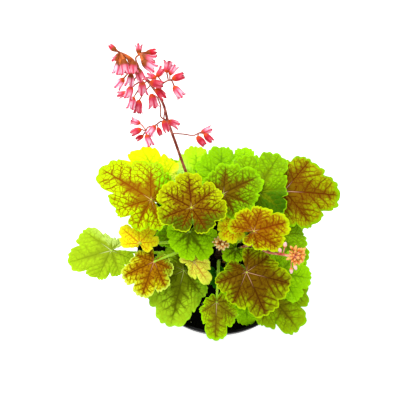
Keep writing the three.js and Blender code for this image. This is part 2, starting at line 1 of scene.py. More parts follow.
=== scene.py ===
# %% [markdown]
# # A potted heuchera, leaf by leaf
#
# A heuchera (coral bells) is a rosette of round, lobed leaves on long stalks, called petioles. Thin
# flower stalks rise out of it, hung with small bells. This lesson dresses a plain model of one such plant:
# every plain solid is replaced by a finer piece of the same form, in nearly the same place.
#
# All tables are in millimetres and degrees, because a plant is easiest to measure so. Blender works in
# metres, so each piece is scaled by MM at the very end, when its mesh is made.

import math
import random

import bmesh
import bpy
import numpy as np
from mathutils import Matrix, Quaternion, Vector, noise


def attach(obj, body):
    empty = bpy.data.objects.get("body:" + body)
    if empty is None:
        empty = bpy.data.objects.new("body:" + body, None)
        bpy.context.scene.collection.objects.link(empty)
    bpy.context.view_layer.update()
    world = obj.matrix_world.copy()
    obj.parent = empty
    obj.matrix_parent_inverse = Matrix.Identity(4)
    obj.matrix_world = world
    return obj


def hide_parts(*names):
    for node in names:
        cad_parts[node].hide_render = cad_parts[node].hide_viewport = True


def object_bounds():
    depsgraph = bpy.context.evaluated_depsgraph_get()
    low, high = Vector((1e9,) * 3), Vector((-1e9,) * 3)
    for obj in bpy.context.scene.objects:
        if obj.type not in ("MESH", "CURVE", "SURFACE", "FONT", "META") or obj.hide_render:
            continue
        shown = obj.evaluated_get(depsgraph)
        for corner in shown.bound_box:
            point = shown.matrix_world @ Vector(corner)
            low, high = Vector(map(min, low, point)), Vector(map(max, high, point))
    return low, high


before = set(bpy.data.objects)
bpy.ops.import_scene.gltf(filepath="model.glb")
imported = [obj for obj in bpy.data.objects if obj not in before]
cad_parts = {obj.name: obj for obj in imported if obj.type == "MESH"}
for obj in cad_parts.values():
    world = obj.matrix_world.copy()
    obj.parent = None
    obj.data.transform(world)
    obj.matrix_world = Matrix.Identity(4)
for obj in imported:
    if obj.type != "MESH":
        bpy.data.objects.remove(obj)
bounds_of_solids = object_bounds()
MM = 0.001
corners = [tuple(round(c, 3) for c in corner) for corner in bounds_of_solids]
print("plain solids:", len(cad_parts), "from", *corners)

# %% [markdown]
# ## Camera
#
# The camera looks steeply down at the plant from its front, as a person does who bends over a pot on the
# ground. Its lens follows from a focal length in pixels and the width of the picture.

# %% Camera
PICTURE_WIDTH = 416
FOCAL_PIXELS = 700
SENSOR_WIDTH = 36.0
CAMERA_PLACE = (-0.0098, -0.1620, 0.6807)
CAMERA_ELEVATION = 70.7
NEAREST_SEEN = 0.01

scene = bpy.context.scene
camera_data = bpy.data.cameras.new("camera")
camera_data.sensor_width = SENSOR_WIDTH
camera_data.lens = SENSOR_WIDTH * FOCAL_PIXELS / PICTURE_WIDTH
camera_data.clip_start = NEAREST_SEEN
camera = bpy.data.objects.new("camera", camera_data)
camera.location = CAMERA_PLACE
camera.rotation_euler = (math.radians(90 - CAMERA_ELEVATION), 0, 0)
scene.collection.objects.link(camera)
scene.camera = camera
print("lens", round(camera_data.lens, 2), "mm")

# %% [markdown]
# ## Materials, in a small language
#
# A node tree is long to write out, so a Recipe has one short method for each kind of node that the
# finishes need. What a method returns, a socket or a Number that holds one, can be fed to the next.

# %% A recipe for a material
def paint(code):
    """A colour written as six hexadecimal digits, as the linear values that shaders use."""
    parts = [int(code[i : i + 2], 16) / 255 for i in (0, 2, 4)]
    linear = [p / 12.92 if p <= 0.04045 else ((p + 0.055) / 1.055) ** 2.4 for p in parts]
    return (*linear, 1.0)


class Number:
    """A value that varies over a surface. It goes into sums like any other number."""

    def __init__(self, recipe, socket):
        self.recipe = recipe
        self.socket = socket

    def __add__(self, other):
        return self.recipe.calc("ADD", self, other)

    def __sub__(self, other):
        return self.recipe.calc("SUBTRACT", self, other)

    def __rsub__(self, other):
        return self.recipe.calc("SUBTRACT", other, self)

    def __mul__(self, other):
        return self.recipe.calc("MULTIPLY", self, other)

    def __truediv__(self, other):
        return self.recipe.calc("DIVIDE", self, other)

    def __abs__(self):
        return self.recipe.calc("ABSOLUTE", self)

    __radd__ = __add__
    __rmul__ = __mul__


class Recipe:
    def __init__(self, name):
        self.material = bpy.data.materials.new(name)
        self.material.use_nodes = True
        self.tree = self.material.node_tree
        self.shader = self.tree.nodes["Principled BSDF"]

    def feed(self, socket, value):
        if isinstance(value, Number):
            value = value.socket
        if isinstance(value, bpy.types.NodeSocket):
            self.tree.links.new(value, socket)
        else:
            socket.default_value = value

    def node(self, kind, inputs=(), **settings):
        made = self.tree.nodes.new("ShaderNode" + kind)
        for name, value in settings.items():
            setattr(made, name, value)
        for place, value in dict(inputs).items():
            self.feed(made.inputs[place], value)
        return made

    def calc(self, operation, first, second=0.0):
        return Number(self, self.node("Math", {0: first, 1: second}, operation=operation).outputs[0])

    def ramp(self, value, low, high):
        """0 below low, 1 above high and a smooth step between them."""
        inputs = {"Value": value, "From Min": low, "From Max": high}
        return Number(self, self.node("MapRange", inputs, interpolation_type="SMOOTHSTEP").outputs[0])

    def near(self, distance, core, width):
        """1 where a distance is below core, 0 where it is above width: a soft line."""
        return 1.0 - self.ramp(distance, core, width)

    def mix(self, share, first, second):
        made = self.node("Mix", data_type="RGBA")
        self.feed(made.inputs[0], share)
        self.feed(made.inputs[6], first)
        self.feed(made.inputs[7], second)
        return made.outputs[2]

    def noise(self, place, scale, detail=2.0):
        inputs = {"Vector": place, "Scale": scale, "Detail": detail}
        return Number(self, self.node("TexNoise", inputs).outputs["Fac"])

    def net(self, place, scale):
        """The distance to the nearest border between cells, in the units of the place."""
        inputs = {"Vector": place, "Scale": scale}
        found = self.node("TexVoronoi", inputs, feature="DISTANCE_TO_EDGE").outputs["Distance"]
        return Number(self, found) / scale

    def attribute(self, name):
        return Number(self, self.node("Attribute", attribute_name=name).outputs["Fac"])

    def object_place(self):
        return self.node("TexCoord").outputs["Object"]

    def map(self, name):
        return self.node("UVMap", uv_map=name).outputs["UV"]

    def split(self, vector):
        return [Number(self, part) for part in self.node("SeparateXYZ", {0: vector}).outputs]

    def bump(self, height, distance, strength=1.0):
        inputs = {"Height": height, "Distance": distance, "Strength": strength}
        return self.node("Bump", inputs).outputs[0]

    def finish(self, colour, roughness, normal=None, specular=0.4):
        self.feed(self.shader.inputs["Base Color"], colour)
        self.feed(self.shader.inputs["Roughness"], roughness)
        self.shader.inputs["Specular IOR Level"].default_value = specular
        if normal is not None:
            self.feed(self.shader.inputs["Normal"], normal)
        return self.material


# %% [markdown]
# ## Light and floor
#
# Leaves look best in soft light from all round, with one large lamp above and behind them that gives them
# form: their far sides are bright and their near sides darker. A white world gives the soft light. A Light
# Path node tells who looks at it, so that the camera sees plain white behind the plant while the leaves
# get a little less light. The floor is white and glows a little, so that the shadows on it stay faint.

# %% Light and floor
WORLD_STRENGTH = 0.78
BACKDROP_STRENGTH = 1.0
LAMP_PLACE = Vector((-0.35, 0.45, 1.25))
LAMP_AIM = Vector((0, 0, 0.15))
LAMP_SIZE = 0.8
LAMP_POWER = 12.0
WHITE = (1, 1, 1, 1)
FLOOR_COLOUR = "f4f4f2"
FLOOR_GLOW = 0.6
FLOOR_SIZE = 30.0

scene.view_settings.view_transform = "Standard"
scene.world = bpy.data.worlds.new("studio")
scene.world.use_nodes = True
sky = scene.world.node_tree.nodes["Background"]
sky.inputs["Color"].default_value = WHITE
seen = scene.world.node_tree.nodes.new("ShaderNodeLightPath")
strength = scene.world.node_tree.nodes.new("ShaderNodeMapRange")
strength.inputs["To Min"].default_value = WORLD_STRENGTH
strength.inputs["To Max"].default_value = BACKDROP_STRENGTH
scene.world.node_tree.links.new(seen.outputs["Is Camera Ray"], strength.inputs["Value"])
scene.world.node_tree.links.new(strength.outputs["Result"], sky.inputs["Strength"])

light = bpy.data.lights.new("key", "AREA")
light.size = LAMP_SIZE
light.energy = LAMP_POWER
lamp = bpy.data.objects.new("key", light)
lamp.location = LAMP_PLACE
lamp.rotation_euler = (LAMP_AIM - LAMP_PLACE).to_track_quat("-Z", "Y").to_euler()
scene.collection.objects.link(lamp)

floor_mesh = bpy.data.meshes.new("floor")
bm = bmesh.new()
bmesh.ops.create_grid(bm, x_segments=1, y_segments=1, size=FLOOR_SIZE)
bm.to_mesh(floor_mesh)
bm.free()
floor_recipe = Recipe("floor")
floor_recipe.shader.inputs["Emission Color"].default_value = WHITE
floor_recipe.shader.inputs["Emission Strength"].default_value = FLOOR_GLOW
floor_mesh.materials.append(floor_recipe.finish(paint(FLOOR_COLOUR), 0.9, specular=0.1))
floor = bpy.data.objects.new("floor", floor_mesh)
scene.collection.objects.link(floor)
print("lamp of", LAMP_POWER, "W at", tuple(round(c, 2) for c in LAMP_PLACE))

# %% [markdown]
# ## From a bmesh to a piece
#
# Each piece is modelled in millimetres in a bmesh. One helper scales it to metres, smooths its faces,
# keeps the edges that are sharp in real life, hangs it on the body "root" and hides the plain solids that
# it replaces.

# %% Finish a piece
SHARP_ANGLE = math.radians(50)


def make_piece(name, bm, materials, replaced=()):
    bmesh.ops.scale(bm, vec=(MM, MM, MM), verts=bm.verts)
    for face in bm.faces:
        face.smooth = True
    for edge in bm.edges:
        edge.smooth = edge.calc_face_angle(0) < SHARP_ANGLE
    mesh = bpy.data.meshes.new(name)
    bm.to_mesh(mesh)
    bm.free()
    for material in materials:
        mesh.materials.append(material)
    piece = bpy.data.objects.new(name, mesh)
    scene.collection.objects.link(piece)
    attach(piece, "root")
    if replaced:
        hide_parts(*replaced)
    return piece


def draw(number):
    """A value from 0 to 1 that looks random, and is always the same for the same number."""
    value = math.sin(number * 12.9898 + 4.1414) * 43758.5453
    return value - math.floor(value)


def turned(distance, bearing, height=0.0):
    """A place given by its distance from the middle and its bearing."""
    return Vector((distance * math.cos(bearing), distance * math.sin(bearing), height))


# %% [markdown]
# ## The pot
#
# A nursery pot is thin black plastic: a tapered wall, a tall lip that stands out from it, a flat rim with
# soft edges and drain holes in the floor. It could be made of two cylinders, one inside the other, but a
# thing that is round about one axis is drawn more simply as a profile, bevelled at its corners and spun.
# The holes are cut afterwards with small drums.

# %% The pot's profile
RIM_RADIUS = 70.0
POT_HEIGHT = 107.0
LIP_HEIGHT = 17.0
LIP_STEP = 5.0
LIP_TAPER = 1.5
LIP_SLOPE = 2.5
FOOT_RADIUS = 49.0
POT_WALL = 1.6
POT_FLOOR = 2.5
FLOOR_LIFT = 0.6
FOOT_RING = 6.0
FOOT_EDGE = 0.8
WALL_STEP = 7.0
SPIN_STEPS = 128
LIP_FOOT = POT_HEIGHT - LIP_HEIGHT
LIP_FOOT_RADIUS = RIM_RADIUS - LIP_TAPER
WALL_TOP = LIP_FOOT - LIP_SLOPE
WALL_TOP_RADIUS = LIP_FOOT_RADIUS - LIP_STEP


def spun(profile, steps, corner=0.0, rounded=()):
    """A bmesh of a profile of (radius, height), turned round the upright axis."""
    bm = bmesh.new()
    verts = [bm.verts.new((radius, 0, height)) for radius, height in profile]
    for first, second in zip(verts, verts[1:]):
        bm.edges.new((first, second))
    if rounded:
        corners = [verts[i] for i in rounded]
        bmesh.ops.bevel(
            bm, geom=corners, offset=corner, offset_type="OFFSET", segments=4, profile=0.5,
            affect="VERTICES", material=-1,
        )
    bmesh.ops.spin(
        bm, geom=bm.verts[:] + bm.edges[:], cent=(0, 0, 0), axis=(0, 0, 1), angle=math.tau,
        steps=steps, use_merge=True, use_duplicate=False,
    )
    bmesh.ops.remove_doubles(bm, verts=bm.verts, dist=1e-4)
    bmesh.ops.recalc_face_normals(bm, faces=bm.faces)
    return bm


def pot_profile():
    inside = RIM_RADIUS - POT_WALL
    return [
        (0, FLOOR_LIFT),
        (FOOT_RADIUS - FOOT_RING - 1, FLOOR_LIFT),
        (FOOT_RADIUS - FOOT_RING, 0),
        (FOOT_RADIUS - FOOT_EDGE, 0),
        (FOOT_RADIUS, FOOT_EDGE),
        (FOOT_RADIUS + 0.9, WALL_STEP),
        (FOOT_RADIUS + 0.5, WALL_STEP + 0.8),
        (WALL_TOP_RADIUS, WALL_TOP),
        (LIP_FOOT_RADIUS, LIP_FOOT),
        (RIM_RADIUS - 0.5, POT_HEIGHT - 3.0),
        (RIM_RADIUS, POT_HEIGHT - 2.6),
        (RIM_RADIUS, POT_HEIGHT),
        (inside - 0.6, POT_HEIGHT),
        (LIP_FOOT_RADIUS - POT_WALL, LIP_FOOT + POT_WALL),
        (WALL_TOP_RADIUS - POT_WALL, WALL_TOP),
        (FOOT_RADIUS - POT_WALL, POT_FLOOR),
        (0, POT_FLOOR),
    ]


# %% Spin the pot and cut its drain holes
DRAIN_HOLES = 6
DRAIN_RADIUS = 4.0
DRAIN_CIRCLE = 31.0
DRUM_SIDES = 32
CORNER_SIZE = 0.45
ROUNDED_CORNERS = (3, 4, 5, 7, 8, 9, 10, 11, 12, 13, 14)


def black_plastic():
    recipe = Recipe("black_plastic")
    place = recipe.object_place()
    scuffs = recipe.ramp(recipe.noise(place, 420.0, 4.0), 0.52, 0.75)
    dust = recipe.ramp(recipe.noise(place, 28.0, 5.0), 0.45, 0.8)
    height = recipe.split(place)[2]
    colour = recipe.mix(dust * 0.3, paint("08080a"), paint("1e1c1a"))
    colour = recipe.mix(dust * recipe.ramp(height, 0.03, 0.0), colour, paint("4a4036"))
    grain = recipe.noise(place, 1600.0, 2.0)
    return recipe.finish(colour, scuffs * 0.2 + 0.42, recipe.bump(grain, 0.00008), specular=0.12)


def cut_holes(bm, radius, circle, count, depth):
    """Cuts upright round holes through the floor of a bmesh, with the exact Boolean."""
    body = bpy.data.objects.new("body", bpy.data.meshes.new("body"))
    bm.to_mesh(body.data)
    drums = bmesh.new()
    for i in range(count):
        middle = turned(circle, math.tau * i / count, depth / 2)
        bmesh.ops.create_cone(
            drums, cap_ends=True, segments=DRUM_SIDES, radius1=radius, radius2=radius, depth=2 * depth,
            matrix=Matrix.Translation(middle),
        )
    cutter = bpy.data.objects.new("cutter", bpy.data.meshes.new("cutter"))
    drums.to_mesh(cutter.data)
    drums.free()
    for thing in (body, cutter):
        scene.collection.objects.link(thing)
    cut = body.modifiers.new("holes", "BOOLEAN")
    cut.object = cutter
    cut.operation = "DIFFERENCE"
    bpy.context.view_layer.update()
    result = bpy.data.meshes.new_from_object(body.evaluated_get(bpy.context.evaluated_depsgraph_get()))
    bm.clear()
    bm.from_mesh(result)
    for thing in (body, cutter):
        bpy.data.meshes.remove(thing.data)
    bpy.data.meshes.remove(result)


pot_bm = spun(pot_profile(), SPIN_STEPS, corner=CORNER_SIZE, rounded=ROUNDED_CORNERS)
cut_holes(pot_bm, DRAIN_RADIUS, DRAIN_CIRCLE, DRAIN_HOLES, 2 * POT_FLOOR)
pot_piece = make_piece("nursery_pot", pot_bm, [black_plastic()], ["pot"])
print("pot:", len(pot_piece.data.polygons), "faces")

# %% [markdown]
# ## The soil
#
# Potting mix is dark peat with crumbs, bark and white perlite. The body is a spun disc whose top heaves.
# A bump in its material alone would leave its outline smooth, so crumbs and perlite are small faceted
# stones strewn over it.

# %% The soil's body
SOIL_HEIGHT = 94.0
SOIL_GAP = 0.5
SOIL_RINGS = 40
SOIL_STEPS = 112
SOIL_HEAVE = 1.5
HEAVE_SPAN = 18
SOIL_GRAIN = 0.9
GRAIN_SPAN = 2.6
SOIL_EDGE_DROP = 1.4


def soil_relief(x, y):
    """How far the soil's surface stands above its plain level."""
    broad = noise.noise(Vector((x, y, 0)) / HEAVE_SPAN) * SOIL_HEAVE
    fine = noise.noise(Vector((x, y, 40)) / GRAIN_SPAN) * SOIL_GRAIN
    edge = SOIL_EDGE_DROP * (math.hypot(x, y) / RIM_RADIUS) ** 4
    return broad + fine - edge


def damp_peat():
    recipe = Recipe("damp_peat")
    place = recipe.object_place()
    patches = recipe.ramp(recipe.noise(place, 160.0, 4.0), 0.35, 0.7)
    colour = recipe.mix(patches, paint("060504"), paint("120d0a"))
    fibres = recipe.ramp(recipe.noise(place, 900.0, 3.0), 0.6, 0.8)
    colour = recipe.mix(fibres * 0.4, colour, paint("2a1f16"))
    return recipe.finish(colour, 0.92, recipe.bump(recipe.noise(place, 700.0, 4.0), 0.0006), specular=0.1)


def soil_body():
    wall = LIP_FOOT_RADIUS - POT_WALL - SOIL_GAP
    inset = POT_WALL + SOIL_GAP
    bottom = POT_FLOOR + SOIL_GAP
    sides = [
        (wall, SOIL_HEIGHT - 3.0),
        (wall, LIP_FOOT + POT_WALL + SOIL_GAP),
        (WALL_TOP_RADIUS - inset, WALL_TOP),
        (FOOT_RADIUS - inset, bottom),
        (0, bottom),
    ]
    top = [(wall * i / SOIL_RINGS, SOIL_HEIGHT) for i in range(SOIL_RINGS + 1)]
    bm = spun(top + sides, SOIL_STEPS)
    for vert in bm.verts:
        if vert.co.z > SOIL_HEIGHT - 0.1:
            vert.co.z += soil_relief(vert.co.x, vert.co.y)
    return bm


soil_piece = make_piece("soil_body", soil_body(), [damp_peat()], ["soil"])
print("soil:", len(soil_piece.data.polygons), "faces")

# %% Crumbs and perlite on the soil
CRUMBS = 900
PERLITE_GRAINS = 130
STREWN_RADIUS = 64.0
TILT = 2.0


def strewn(count, smallest, largest, flatness, seed):
    """Small rough stones strewn evenly over the soil, each a squashed and dented icosphere."""
    random.seed(seed)
    bm = bmesh.new()
    for _ in range(count):
        place = turned(STREWN_RADIUS * math.sqrt(random.random()), random.uniform(0, math.tau))
        size = random.uniform(smallest, largest)
        axis = Vector((random.gauss(0, 1), random.gauss(0, 1), random.gauss(0, 1))).normalized()
        place.z = SOIL_HEIGHT + soil_relief(place.x, place.y) + 0.15 * size
        sizes = Vector((size, size * random.uniform(0.6, 1), size * flatness))
        shape = Matrix.LocRotScale(place, Quaternion(axis, TILT), sizes)
        made = bmesh.ops.create_icosphere(bm, subdivisions=1, radius=0.5, matrix=shape)
        for vert in made["verts"]:
            vert.co += (vert.co - place) * random.uniform(-0.25, 0.2)
    return bm


def white_perlite():
    recipe = Recipe("white_perlite")
    place = recipe.object_place()
    stain = recipe.ramp(recipe.noise(place, 350.0, 3.0), 0.4, 0.75)
    colour = recipe.mix(stain, paint("cfcabd"), paint("6f6658"))
    return recipe.finish(colour, 0.85, recipe.bump(recipe.noise(place, 2200.0, 2.0), 0.0003), specular=0.2)


crumbs = strewn(CRUMBS, smallest=0.9, largest=3.4, flatness=0.8, seed=3)
make_piece("soil_crumbs", crumbs, [damp_peat()])
grains = strewn(PERLITE_GRAINS, smallest=0.8, largest=1.9, flatness=0.9, seed=5)
make_piece("perlite", grains, [white_perlite()])
print("crumbs:", CRUMBS, "perlite:", PERLITE_GRAINS)

# %% [markdown]
# ## Drawing out a stem
#
# Petioles, stalks and the small stems of the bells are all round stems along a curve. A stem starts as a
# circle, and its edge is extruded step by step: each new ring is moved from the frame of the last one to
# the frame of its own, so it never twists.

# %% Stems
def frames_along(points, radii):
    """One matrix for each point: it takes a unit circle to the stem's ring there."""
    frames = []
    across = Vector((1, 0, 0))
    before = Vector((0, 0, 1))
    for i, point in enumerate(points):
        along = (points[min(i + 1, len(points) - 1)] - points[max(i - 1, 0)]).normalized()
        across = before.rotation_difference(along) @ across
        across = (across - along * across.dot(along)).normalized()
        before = along
        side = along.cross(across)
        turn = Matrix((across, side, along)).transposed().to_4x4()
        frames.append(Matrix.Translation(point) @ turn @ Matrix.Scale(radii[i], 4))
    return frames


def new_ring(extruded):
    verts = [e for e in extruded["geom"] if isinstance(e, bmesh.types.BMVert)]
    fresh = set(verts)
    edges = [e for e in extruded["geom"] if isinstance(e, bmesh.types.BMEdge) and fresh.issuperset(e.verts)]
    return verts, edges


def draw_stem(bm, points, radii, sides, material=0):
    """Adds a closed round stem to a bmesh and returns its faces."""
    known = set(bm.faces)
    frames = frames_along(points, radii)
    circle = bmesh.ops.create_circle(bm, segments=sides, radius=1.0, matrix=frames[0])["verts"]
    edges = list({edge for vert in circle for edge in vert.link_edges})
    ends = [edges]
    for last, this in zip(frames, frames[1:]):
        verts, edges = new_ring(bmesh.ops.extrude_edge_only(bm, edges=edges))
        bmesh.ops.transform(bm, matrix=this @ last.inverted(), verts=verts)
    ends.append(edges)
    for rim in ends:
        bmesh.ops.edgeloop_fill(bm, edges=rim)
    faces = [face for face in bm.faces if face not in known]
    bmesh.ops.recalc_face_normals(bm, faces=faces)
    for face in faces:
        face.material_index = material
    return faces


def evenly(first, last, count):
    return [first + (last - first) * i / (count - 1) for i in range(count)]


# %% [markdown]
# A curve through the points of a table is a Catmull-Rom curve: it passes through every point, and its
# speed is set by the distances between them, so it makes no loops.

# %% A smooth curve through points
def through(points, steps):
    """A smooth curve through points, with a number of steps between each two."""
    points = [Vector(p) for p in points]
    padded = [2 * points[0] - points[1], *points, 2 * points[-1] - points[-2]]
    path = [points[0]]
    for a, b, c, d in zip(padded, padded[1:], padded[2:], padded[3:]):
        before, here, after = [math.sqrt((q - p).length) for p, q in ((a, b), (b, c), (c, d))]
        leave = ((b - a) / before - (c - a) / (before + here) + (c - b) / here) * here
        arrive = ((c - b) / here - (d - b) / (here + after) + (d - c) / after) * here
        for i in range(1, steps + 1):
            t = i / steps
            bend = leave * (t**3 - 2 * t**2 + t) + arrive * (t**3 - t**2)
            path.append(b * (2 * t**3 - 3 * t**2 + 1) + c * (3 * t**2 - 2 * t**3) + bend)
    return path


# %% [markdown]
# ## Hairs
#
# The stems of a heuchera are covered in short soft hairs. They could be a hair system, but as cones in the
# stem's own mesh they stay one piece with it. There are thousands of them, so each has only three sides.

# %% Hairs along a stem
HAIR_RADIUS = 0.05


def give_material(made, material):
    """Gives a material to the faces of a shape that was just made."""
    for face in {face for vert in made["verts"] for face in vert.link_faces}:
        face.material_index = material


def add_hairs(bm, points, radii, count, length, material):
    """Strews hairs over a stem, standing out and a little upwards."""
    for _ in range(count):
        place = random.uniform(0.06, 0.97) * (len(points) - 1)
        i = int(place)
        middle = points[i].lerp(points[i + 1], place - i)
        along = (points[i + 1] - points[i]).normalized()
        out = along.orthogonal().normalized()
        out.rotate(Quaternion(along, random.uniform(0, math.tau)))
        size = length * random.uniform(0.5, 1.1)
        way = (out + along * random.uniform(-0.1, 0.5)).normalized()
        base = middle + out * radii[i] * 0.9
        turn = Vector((0, 0, 1)).rotation_difference(way)
        matrix = Matrix.LocRotScale(base + way * size / 2, turn, None)
        made = bmesh.ops.create_cone(
            bm, cap_ends=False, segments=3, radius1=HAIR_RADIUS, radius2=0.0, depth=size, matrix=matrix
        )
        give_material(made, material)


# %% [markdown]
# ## The leaves
#
# No two leaves of a plant are alike, so a table gives each leaf a row of its own: its paint, its hub,
# where the petiole meets the blade, above the soil; the way its tip points, how far that tip dips, the
# angle between two lobes, the petiole's foot as a distance and a bearing, and the reaches of its seven
# lobes from the right of the sinus round the tip to its left. Some leaves say more: "side" and "base"
# tint one side or the lobes by the sinus, between two lobes counted from the tip; "cut" is how deeply the
# margin is notched, "sinus" how far its corners there are rounded and "wave" how far the blade waves;
# "rise" and "lift" bend the petiole. The "base" tint of leaf 1 and the "side" tint of leaf 7 are painted
# shade on lobes that turn away from the lamp, and the "side" tints of leaves 12 and 18 a painted sheen.

# %% The leaves' table
LEAF_KEYS = ("paint", "hub", "heading", "dip", "spread", "foot", "lobes")
LEAF_ROWS = [
    # leaf_01: its "base" tint is painted shade on the lobes beside the sinus.
    ("lime_net", (-22, 8, 102), 95, 8, 50.5, (17, 165), (21, 26, 27, 32, 29, 25, 19),
     {"cut": 0.2, "sinus": 0.08, "base": ("4c6400", 1.3, 2.6)}),
    ("amber", (24, -7, 92), 22, 14, 48, (9, 10), (11, 14, 24, 32, 23, 20, 19),
     {"sinus": 0.1, "side": ("a8b400", -1.8, -2.8)}),
    ("citrus_net", (-53, 20, 86), 143, 8, 48, (24, 160), (18, 24, 37, 54, 29, 24, 23),
     {"cut": 0.28, "side": ("84d800", -0.6, -1.8)}),
    ("jade", (2, 25, 86), 35, 14, 48, (10, 88), (16, 21, 26, 39, 29, 20, 15),
     {"side": ("6c7c00", -1.5, -2.8)}),
    ("umber", (19, -34, 76), -62, 22, 48, (12, -60), (14, 24, 26, 38, 37, 22, 18),
     {"side": ("6c8c00", -1.6, -2.7)}),
    ("russet", (52, 39, 54), 3, 12, 48, (22, 33), (20, 28, 36, 51, 41, 27, 18),
     {"cut": 0.13, "side": ("90b000", -1.2, -2.4)}),
    # leaf_07: its "side" tint is painted shade on its lower lobe, which faces down.
    ("grass", (29, 33, 70), 62, 12, 48, (16, 50), (18, 26, 25, 46, 37, 24, 18),
     {"cut": 0.2, "side": ("306000", -0.5, -1.6)}),
    ("bright", (-24, -1, 72), -98, 20, 42, (10, 196), (15, 18, 19, 22, 25, 22, 18), {}),
    ("ember", (-52, -20, 54), -112, 16, 44, (19, -162), (13, 17, 29, 30, 23, 16, 11),
     {"rise": 1.2, "lift": -0.8, "side": ("a0c020", 0.6, 1.8)}),
    ("olive", (-29, -24, 42), -105, 22, 48, (21, -141), (22, 26, 37, 48, 27, 16, 10),
     {"cut": 0.08, "side": ("6cc810", 0.8, 2.0)}),
    ("bronze", (-3, -50, 42), -92, 34, 48, (8, -95), (7, 9, 17, 34, 22, 14, 9),
     {"cut": 0.2, "rise": 0.9, "lift": -0.5}),
    # leaf_12: its "side" tint is a painted pale sheen on one side of the blade.
    ("pale", (-88, -7, 40), -168, 10, 48, (23, -178), (12, 12, 33, 38, 25, 20, 19),
     {"cut": 0.18, "side": ("d0e878", -0.9, -1.9)}),
    ("moss", (37, -42, 44), -45, 22, 48, (20, -30), (13, 17, 27, 43, 36, 20, 13),
     {"cut": 0.17, "side": ("98d800", 0.8, 2.0)}),
    ("lemon", (-46, 38, 72), 117, 8, 46, (16, 138), (14, 14, 26, 41, 48, 21, 14),
     {"cut": 0.26, "side": ("d8f060", -1.0, -2.0)}),
    ("honey", (-63, -8, 64), 95, -10, 44, (15, -176), (10, 15, 17, 15, 20, 15, 4),
     {"cut": 0.2, "rise": 0.9, "lift": -0.5}),
    ("straw", (-21, -21, 58), -52, 10, 46, (14, -140), (11, 6, 12, 21, 13, 7, 5),
     {"cut": 0.28, "wave": 0.16}),
    ("flame", (10, 0, 82), -142, 10, 44, (9, 36), (8, 11, 13, 14, 13, 11, 9), {"cut": 0.2}),
    # leaf_18: its "side" tint is a painted pale sheen on one half of the blade.
    ("spring", (-19, 51, 54), 92, 12, 44, (18, 112), (12, 16, 24, 35, 24, 16, 12),
     {"side": ("c8f870", 0.3, 1.5)}),
    ("mown", (1, 47, 60), 89, 12, 46, (17, 88), (13, 18, 26, 37, 27, 18, 13), {}),
    ("lawn", (19, 57, 50), 84, 14, 46, (22, 60), (12, 16, 22, 30, 22, 16, 12), {}),
    ("lawn", (45, -30, 54), -1, 18, 46, (24, -14), (13, 18, 26, 30, 26, 18, 13), {}),
    ("grass", (43, 4, 48), 10, 18, 48, (18, 6), (14, 28, 36, 29, 24, 18, 13), {}),
    ("lawn", (20, -38, 28), -83, 28, 46, (22, -66), (9, 13, 22, 30, 20, 10, 7), {}),
    ("shade", (-3, -20, 22), -85, 20, 42, (14, -80), (6, 8, 11, 15, 11, 8, 6), {}),
    ("spring", (-33, 46, 46), 95, 16, 44, (23, 130), (10, 14, 19, 27, 19, 14, 10), {}),
    ("fern", (-3, 54, 30), 86, 20, 46, (24, 84), (14, 19, 26, 33, 26, 19, 14), {}),
    ("grass", (-42, 55, 34), 126, 20, 46, (24, 118), (14, 19, 26, 32, 26, 19, 14), {}),
    ("fern", (44, 50, 36), 50, 20, 46, (25, 44), (14, 19, 26, 32, 26, 19, 14), {}),
    ("bright", (12, -11, 60), -140, 8, 42, (16, -40), (6, 8, 11, 13, 13, 10, 8), {}),
    ("grass", (-40, 2, 50), 172, 10, 44, (26, 171), (7, 9, 11, 13, 11, 9, 7), {}),
]
LEAVES = [dict(zip(LEAF_KEYS, row), **more) for *row, more in LEAF_ROWS]
print("leaves:", len(LEAVES))

# %% [markdown]
# A blade starts as a flat grid. One way across the grid becomes the angle round the hub, the other the
# share of the way from the hub to the margin. The margin's reach is blended from lobe to lobe, notched
# between lobes and scalloped with round teeth, as a heuchera's is.

# %% The margin of a blade
LOBES = 7
LOBE_CUT = 0.15
NOTCH_POWER = 5
NOTCH_LEAST = 0.6
NOTCH_SPAN = 0.8
TOOTH_HEIGHT = 0.055
TOOTH_ROUNDNESS = 0.65
TOOTH_MIDDLE = 0.65
LONG_REACH = 28.0
TOOTH_WAVER = 0.05
WAVER_TURNS = 2.7
SINUS_START = 3.1
SINUS_ROUND = 0.5


def teeth_of(leaf):
    """A long lobe has five scallops, a short one three."""
    return 5 if max(leaf["lobes"]) > LONG_REACH else 3


def margin_reach(angle, leaf):
    """How far the margin lies from the hub at an angle from the tip, for an array of angles."""
    lobes = np.array(leaf["lobes"], float)
    turn = angle / leaf["spread"]
    place = np.clip(turn + (LOBES - 1) / 2, 0, LOBES - 1.001)
    right = np.floor(place).astype(int)
    ease = place - right
    ease = ease * ease * (3 - 2 * ease)
    body = lobes[right] * (1 - ease) + lobes[right + 1] * ease
    towards_notch = 2 * np.abs(turn - np.round(turn))
    chance = np.vectorize(draw)(np.floor(turn) + leaf["phase"])
    depth = leaf.get("cut", LOBE_CUT) * (NOTCH_LEAST + NOTCH_SPAN * chance)
    notch = 1 - depth * towards_notch**NOTCH_POWER
    waver = TOOTH_WAVER * np.sin(WAVER_TURNS * math.pi * turn + leaf["phase"])
    scallop = np.abs(np.cos(math.pi * (turn + waver) * teeth_of(leaf))) ** TOOTH_ROUNDNESS
    end = np.clip((np.abs(turn) - SINUS_START) / (LOBES / 2 - SINUS_START), 0, 1)
    rounding = np.sqrt(1 - leaf.get("sinus", SINUS_ROUND) * end**2)
    return body * notch * (1 + TOOTH_HEIGHT * (scallop - TOOTH_MIDDLE)) * rounding


# %% [markdown]
# ## Veins
#
# A main vein runs from the hub to the tip of each lobe. Side veins leave it at a slant, first on one side
# and then on the other. The blade bulges up between veins, so the same two distances, to the nearest main
# vein and to the nearest side vein, shape the mesh here and colour it further down.

